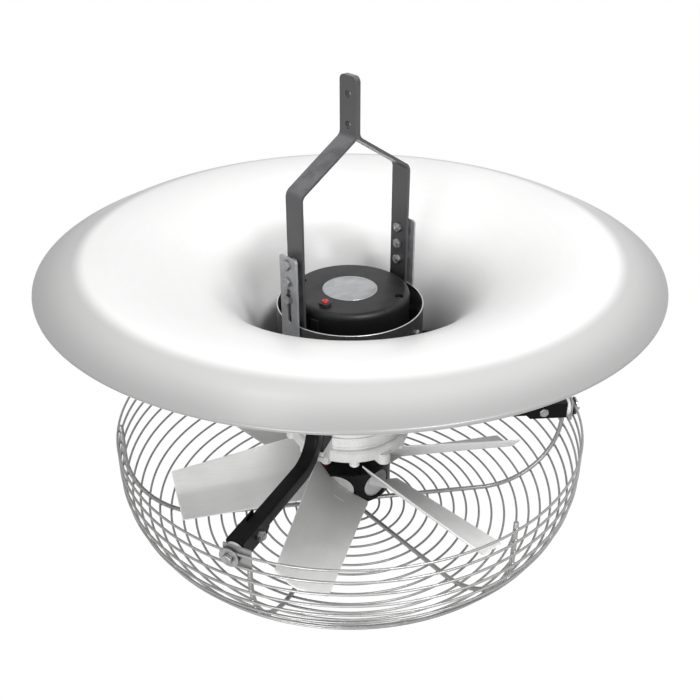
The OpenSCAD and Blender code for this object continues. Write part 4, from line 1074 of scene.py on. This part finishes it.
class BladeShape:
    """One blade in its own frame: X outwards, Z up, the foot's axis along X."""
    ROOT_MIDDLE = Vector((60, 6.7, 16.6)) * MM   # middle of the sheet's hub end
    TIP_RISE = Vector((0, 14.6, 0.2)) * MM       # from the foot's axis to the middle of the tip
    SKEWS = (2.2 * MM, 4.4 * MM)                 # how far the corners at hub and tip are moved along X
    FOLDS = (0.5, 0.42)                          # where the fold lies across the chord at hub and tip
    SOFT = 0.25                                  # softness of the fold
    HUB_RADIUS = 63.8 * MM                       # where the sheet leaves the hub
    FOOT = (44.6 * MM, 58.3 * MM)                # the foot's two ends along X
    FOOT_SIDES, FOOT_CHAMFER, FOOT_DIMPLE = 72, 1.2 * MM, 0.5 * MM
    ALONG, ACROSS = 30, 44
    ROUNDING = (0.0, 0.05, 0.18, 0.4, 0.7, 1.0)
    WEB_STEPS, WEB_HALF_STEPS = 18, 12
    WEB_LENGTH, WEB_ASIDE, WEB_HALF, WEB_DEEP = 28 * MM, 3 * MM, 15 * MM, 8 * MM

    def __init__(self, b):
        self.b = b
        tip = Vector((b.tip_radius, 0, 0)) + self.TIP_RISE
        self.root, self.tip = ([self.corner(*end, side) for side in (-1, 1)] for end in (
            (self.ROOT_MIDDLE, b.root_chord, b.root_pitch, self.SKEWS[0]),
            (tip, b.tip_chord, b.tip_pitch, self.SKEWS[1])))

    @staticmethod
    def corner(middle, chord, pitch, skew, side):
        """One corner of the sheet."""
        return middle + side * Vector((-skew, chord / 2 * math.cos(pitch), -chord / 2 * math.sin(pitch)))

    def down(self, s):
        """The direction in which the section bulges."""
        d = (self.root[1] - self.root[0]) * (1 - s) + (self.tip[1] - self.tip[0]) * s
        return Vector((0, d.z, -d.y)).normalized()

    def depth(self, s, t):
        """Depth of the folded section at t across the chord."""
        at = self.FOLDS[0] * (1 - s) + self.FOLDS[1] * s
        a, c = t / at, (1 - t) / (1 - at)
        return self.b.camber * (a + c - math.hypot(a - c, self.SOFT)) / (2 - self.SOFT)

    def point(self, s, t, lift=0.0):
        """A point of the sheet, lifted from its middle."""
        a = self.root[0] * (1 - s) + self.tip[0] * s
        c = self.root[1] * (1 - s) + self.tip[1] * s
        return a * (1 - t) + c * t + self.down(s) * (self.depth(s, t) + lift)

    def start(self, t):
        """Where the sheet leaves the hub."""
        low, high = 0.0, 0.2
        if math.hypot(*self.point(0.0, t)[:2]) > self.HUB_RADIUS:
            return 0.0
        for _ in range(24):
            s = (low + high) / 2
            if math.hypot(*self.point(s, t)[:2]) < self.HUB_RADIUS:
                low = s
            else:
                high = s
        return high

    def sheet(self, pile):
        """The sheet with rounded edges. Returns which faces are edge faces."""
        half = self.b.sheet / 2
        side_margin = half / self.b.root_chord
        end_margin = half / (self.b.tip_radius - self.HUB_RADIUS)
        ts = self.spread(side_margin, self.ACROSS)
        ss = self.spread(end_margin, self.ALONG)
        rings = []
        for s in ss:
            upper, lower = [], []
            for t in ts:
                first = self.start(t)
                place = first + (1 - first) * s
                h = half * self.thick(t, side_margin) * self.thick(s, end_margin)
                upper.append(self.point(place, t, -h))
                lower.append(self.point(place, t, h))
            rings.append(upper + lower[::-1][1:-1])
        pile.add(*skin(rings))
        width, rim = len(ts), len(self.ROUNDING) - 1
        marks = []
        for i in range(len(ss) - 1):
            for j in range(len(rings[0])):
                across = j if j < width else 2 * width - 2 - j
                inside = rim <= across < width - 1 - rim and rim <= i < len(ss) - 1 - rim
                marks.append(0.0 if inside else 1.0)
        return marks

    @classmethod
    def spread(cls, margin, steps):
        """Shares from 0 to 1: even in the middle, close together in the two margins."""
        near = [share * margin for share in cls.ROUNDING]
        middle = [margin + (1 - 2 * margin) * i / steps for i in range(1, steps)]
        return near + middle + [1 - share for share in near[::-1]]

    @staticmethod
    def thick(share, margin):
        """Share of the full thickness, which rounds off within a margin."""
        q = min(1.0, min(share, 1 - share) / margin)
        return math.sqrt(max(0.0, 1 - (1 - q) ** 2))

    def foot(self, pile):
        """The round foot that the hub clamps."""
        a, z = self.FOOT
        r, c, floor = self.b.foot_radius, self.FOOT_CHAMFER, z - self.FOOT_DIMPLE
        outline = [(0, a), (r - c, a), (r, a + c), (r, z - c), (r - c * 0.3, z - c * 0.3), (r - c, z),
                   (r * 0.62, z), (r * 0.58, floor), (0, floor)]
        pile.add(*spin(outline, self.FOOT_SIDES), Matrix.Rotation(math.pi / 2, 4, "Y"))

    def web(self, pile):
        """The web that thins out under the sheet."""
        b = self.b
        c, s = math.cos(b.root_pitch), math.sin(b.root_pitch)
        m = self.ROOT_MIDDLE
        ridge = m.y * c - m.z * s
        low = m.y * s + m.z * c - b.camber
        rise = b.camber / (b.root_chord / 2) * 1.1
        turn = Matrix.Rotation(-b.root_pitch, 4, "X")
        rings = []
        for i in range(self.WEB_STEPS + 1):
            share = i / self.WEB_STEPS
            x = self.FOOT[1] - 1 * MM + self.WEB_LENGTH * share
            floor = -self.WEB_DEEP * (1 - share) + (low - 1 * MM) * share
            top, under = [], []
            for j in range(2 * self.WEB_HALF_STEPS + 1):
                u = -1 + j / self.WEB_HALF_STEPS
                y = ridge + self.WEB_ASIDE + self.WEB_HALF * u
                high = low + 0.2 * MM + abs(y - ridge) * rise * 0.9
                full = (1 - abs(u) ** 5) ** (1 / 2.2) if abs(u) < 1 else 0.0
                top.append(Vector((x, y, high)))
                under.append(Vector((x, y, high - max(0.0, high - floor) * full)))
            rings.append(top + under[::-1][1:-1])
        pile.add(*skin(rings, close_ends=True), turn)


class FAN_OT_studio(Repeatable, bpy.types.Operator):
    """Sets the pale floor, the soft lamps and the camera"""
    bl_idname = "fan.studio"
    bl_label = "Studio"
    WHITE = (1.0, 1.0, 1.0)
    FLOOR_TONE = (0.82, 0.82, 0.82)
    FLOOR_HALF = 60.0
    GLOW, GLOW_SHARE = 1.08, 0.9
    LAMPS = (("key_lamp", (-0.15, -1.8, 2.1), (0, 0, -0.3), 0.8, "key"),
             ("front_lamp", (-2.5, -1.5, 0.0), (0, 0, -0.5), 1.0, "fill"),
             ("glint_lamp", (-0.74, 0.45, 2.69), (0, 0, -0.3), 0.35, "glint"))

    def execute(self, context):
        """Floor, light and camera."""
        scene, st = context.scene, context.scene.fan_studio
        self.floor(st)
        self.world(scene, st)
        for name, place, aim, side, power in self.LAMPS:
            data = bpy.data.lights.new(name, "AREA")
            data.shape, data.size, data.energy = "SQUARE", side, getattr(st, power)
            self.stand(name, data, place, aim)
        data = bpy.data.cameras.new("photo_camera")
        data.lens, data.sensor_width, data.clip_end = st.lens, 36.0, 200.0
        scene.camera = self.stand("photo_camera", data, st.eye, st.aim)
        scene.view_settings.view_transform = "Standard"
        return {"FINISHED"}

    @staticmethod
    def stand(name, data, place, aim):
        """Stands a lamp or a camera at a place, looking at a point."""
        thing = bpy.data.objects.new(name, data)
        thing.location = place
        thing.rotation_euler = (Vector(aim) - Vector(place)).to_track_quat("-Z", "Y").to_euler()
        bpy.context.scene.collection.objects.link(thing)
        return thing

    def floor(self, st):
        """A pale floor far below, which looks nearly white and keeps a faint shadow."""
        mesh = bpy.data.meshes.new("studio_floor")
        mesh.from_pydata([(x * self.FLOOR_HALF, y * self.FLOOR_HALF, st.floor_z)
                          for x, y in ((-1, -1), (1, -1), (1, 1), (-1, 1))], [], [(0, 1, 2, 3)])
        f = Finish("studio_floor", self.FLOOR_TONE, base_color=self.FLOOR_TONE, roughness=0.8)
        glow = f.node("ShaderNodeEmission", None, {"Color": self.WHITE, "Strength": self.GLOW})
        surface = f.node("ShaderNodeMixShader", None, {0: f.seen() * self.GLOW_SHARE,
                                                       1: Value(f, f.shader.outputs[0]), 2: glow})
        f.plug(f.tree.nodes["Material Output"].inputs["Surface"], surface)
        mesh.materials.append(f.material)
        floor = bpy.data.objects.new("studio_floor", mesh)
        bpy.context.scene.collection.objects.link(floor)

    def world(self, scene, st):
        """Even light, and white where the camera looks past the floor."""
        scene.world = bpy.data.worlds.new("studio")
        scene.world.use_nodes = True
        nodes = Nodes(scene.world.node_tree)
        back = nodes.tree.nodes["Background"]
        nodes.plug(back.inputs["Color"], self.WHITE)
        nodes.plug(back.inputs["Strength"], nodes.seen() * (1.0 - st.sky) + st.sky)


class FAN_PT_panel(bpy.types.Panel):
    """Shows the fan's settings and makers."""
    bl_label = "Air circulator fan"
    bl_idname = "FAN_PT_panel"
    bl_space_type = "VIEW_3D"
    bl_region_type = "UI"
    bl_category = "Fan"

    def draw(self, context):
        """Settings, then one button for each group of pieces."""
        for group in SETTINGS:
            box = self.layout.box()
            for key in group[1].__annotations__:
                box.prop(getattr(context.scene, group[0]), key)
        for maker in MAKERS:
            self.layout.operator(maker.bl_idname)


SETTINGS = [("fan_hanger", FAN_PG_hanger), ("fan_motor", FAN_PG_motor), ("fan_disc", FAN_PG_disc),
            ("fan_arms", FAN_PG_arms), ("fan_guard", FAN_PG_guard), ("fan_blades", FAN_PG_blades),
            ("fan_studio", FAN_PG_studio)]
MAKERS = [FAN_OT_hanger, FAN_OT_sleeve, FAN_OT_motor_cap, FAN_OT_motor, FAN_OT_disc, FAN_OT_arms,
          FAN_OT_guard, FAN_OT_hub, FAN_OT_blades, FAN_OT_fasteners, FAN_OT_studio]


def register():
    """Registers the settings, the makers and the panel."""
    for name, group in SETTINGS:
        bpy.utils.register_class(group)
        setattr(bpy.types.Scene, name, PointerProperty(type=group))
    for maker in MAKERS + [FAN_PT_panel]:
        bpy.utils.register_class(maker)


def unregister():
    """Takes them out again."""
    for maker in reversed(MAKERS + [FAN_PT_panel]):
        bpy.utils.unregister_class(maker)
    for name, group in reversed(SETTINGS):
        delattr(bpy.types.Scene, name)
        bpy.utils.unregister_class(group)


def main():
    """Makes every piece."""
    register()
    make_finishes(bpy.context.scene)
    for maker in MAKERS:
        group, name = maker.bl_idname.split(".")
        if getattr(getattr(bpy.ops, group), name)() != {"FINISHED"}:
            raise RuntimeError(maker.bl_label + " wasn't made")
    bpy.context.view_layer.update()


if __name__ == "__main__":
    main()
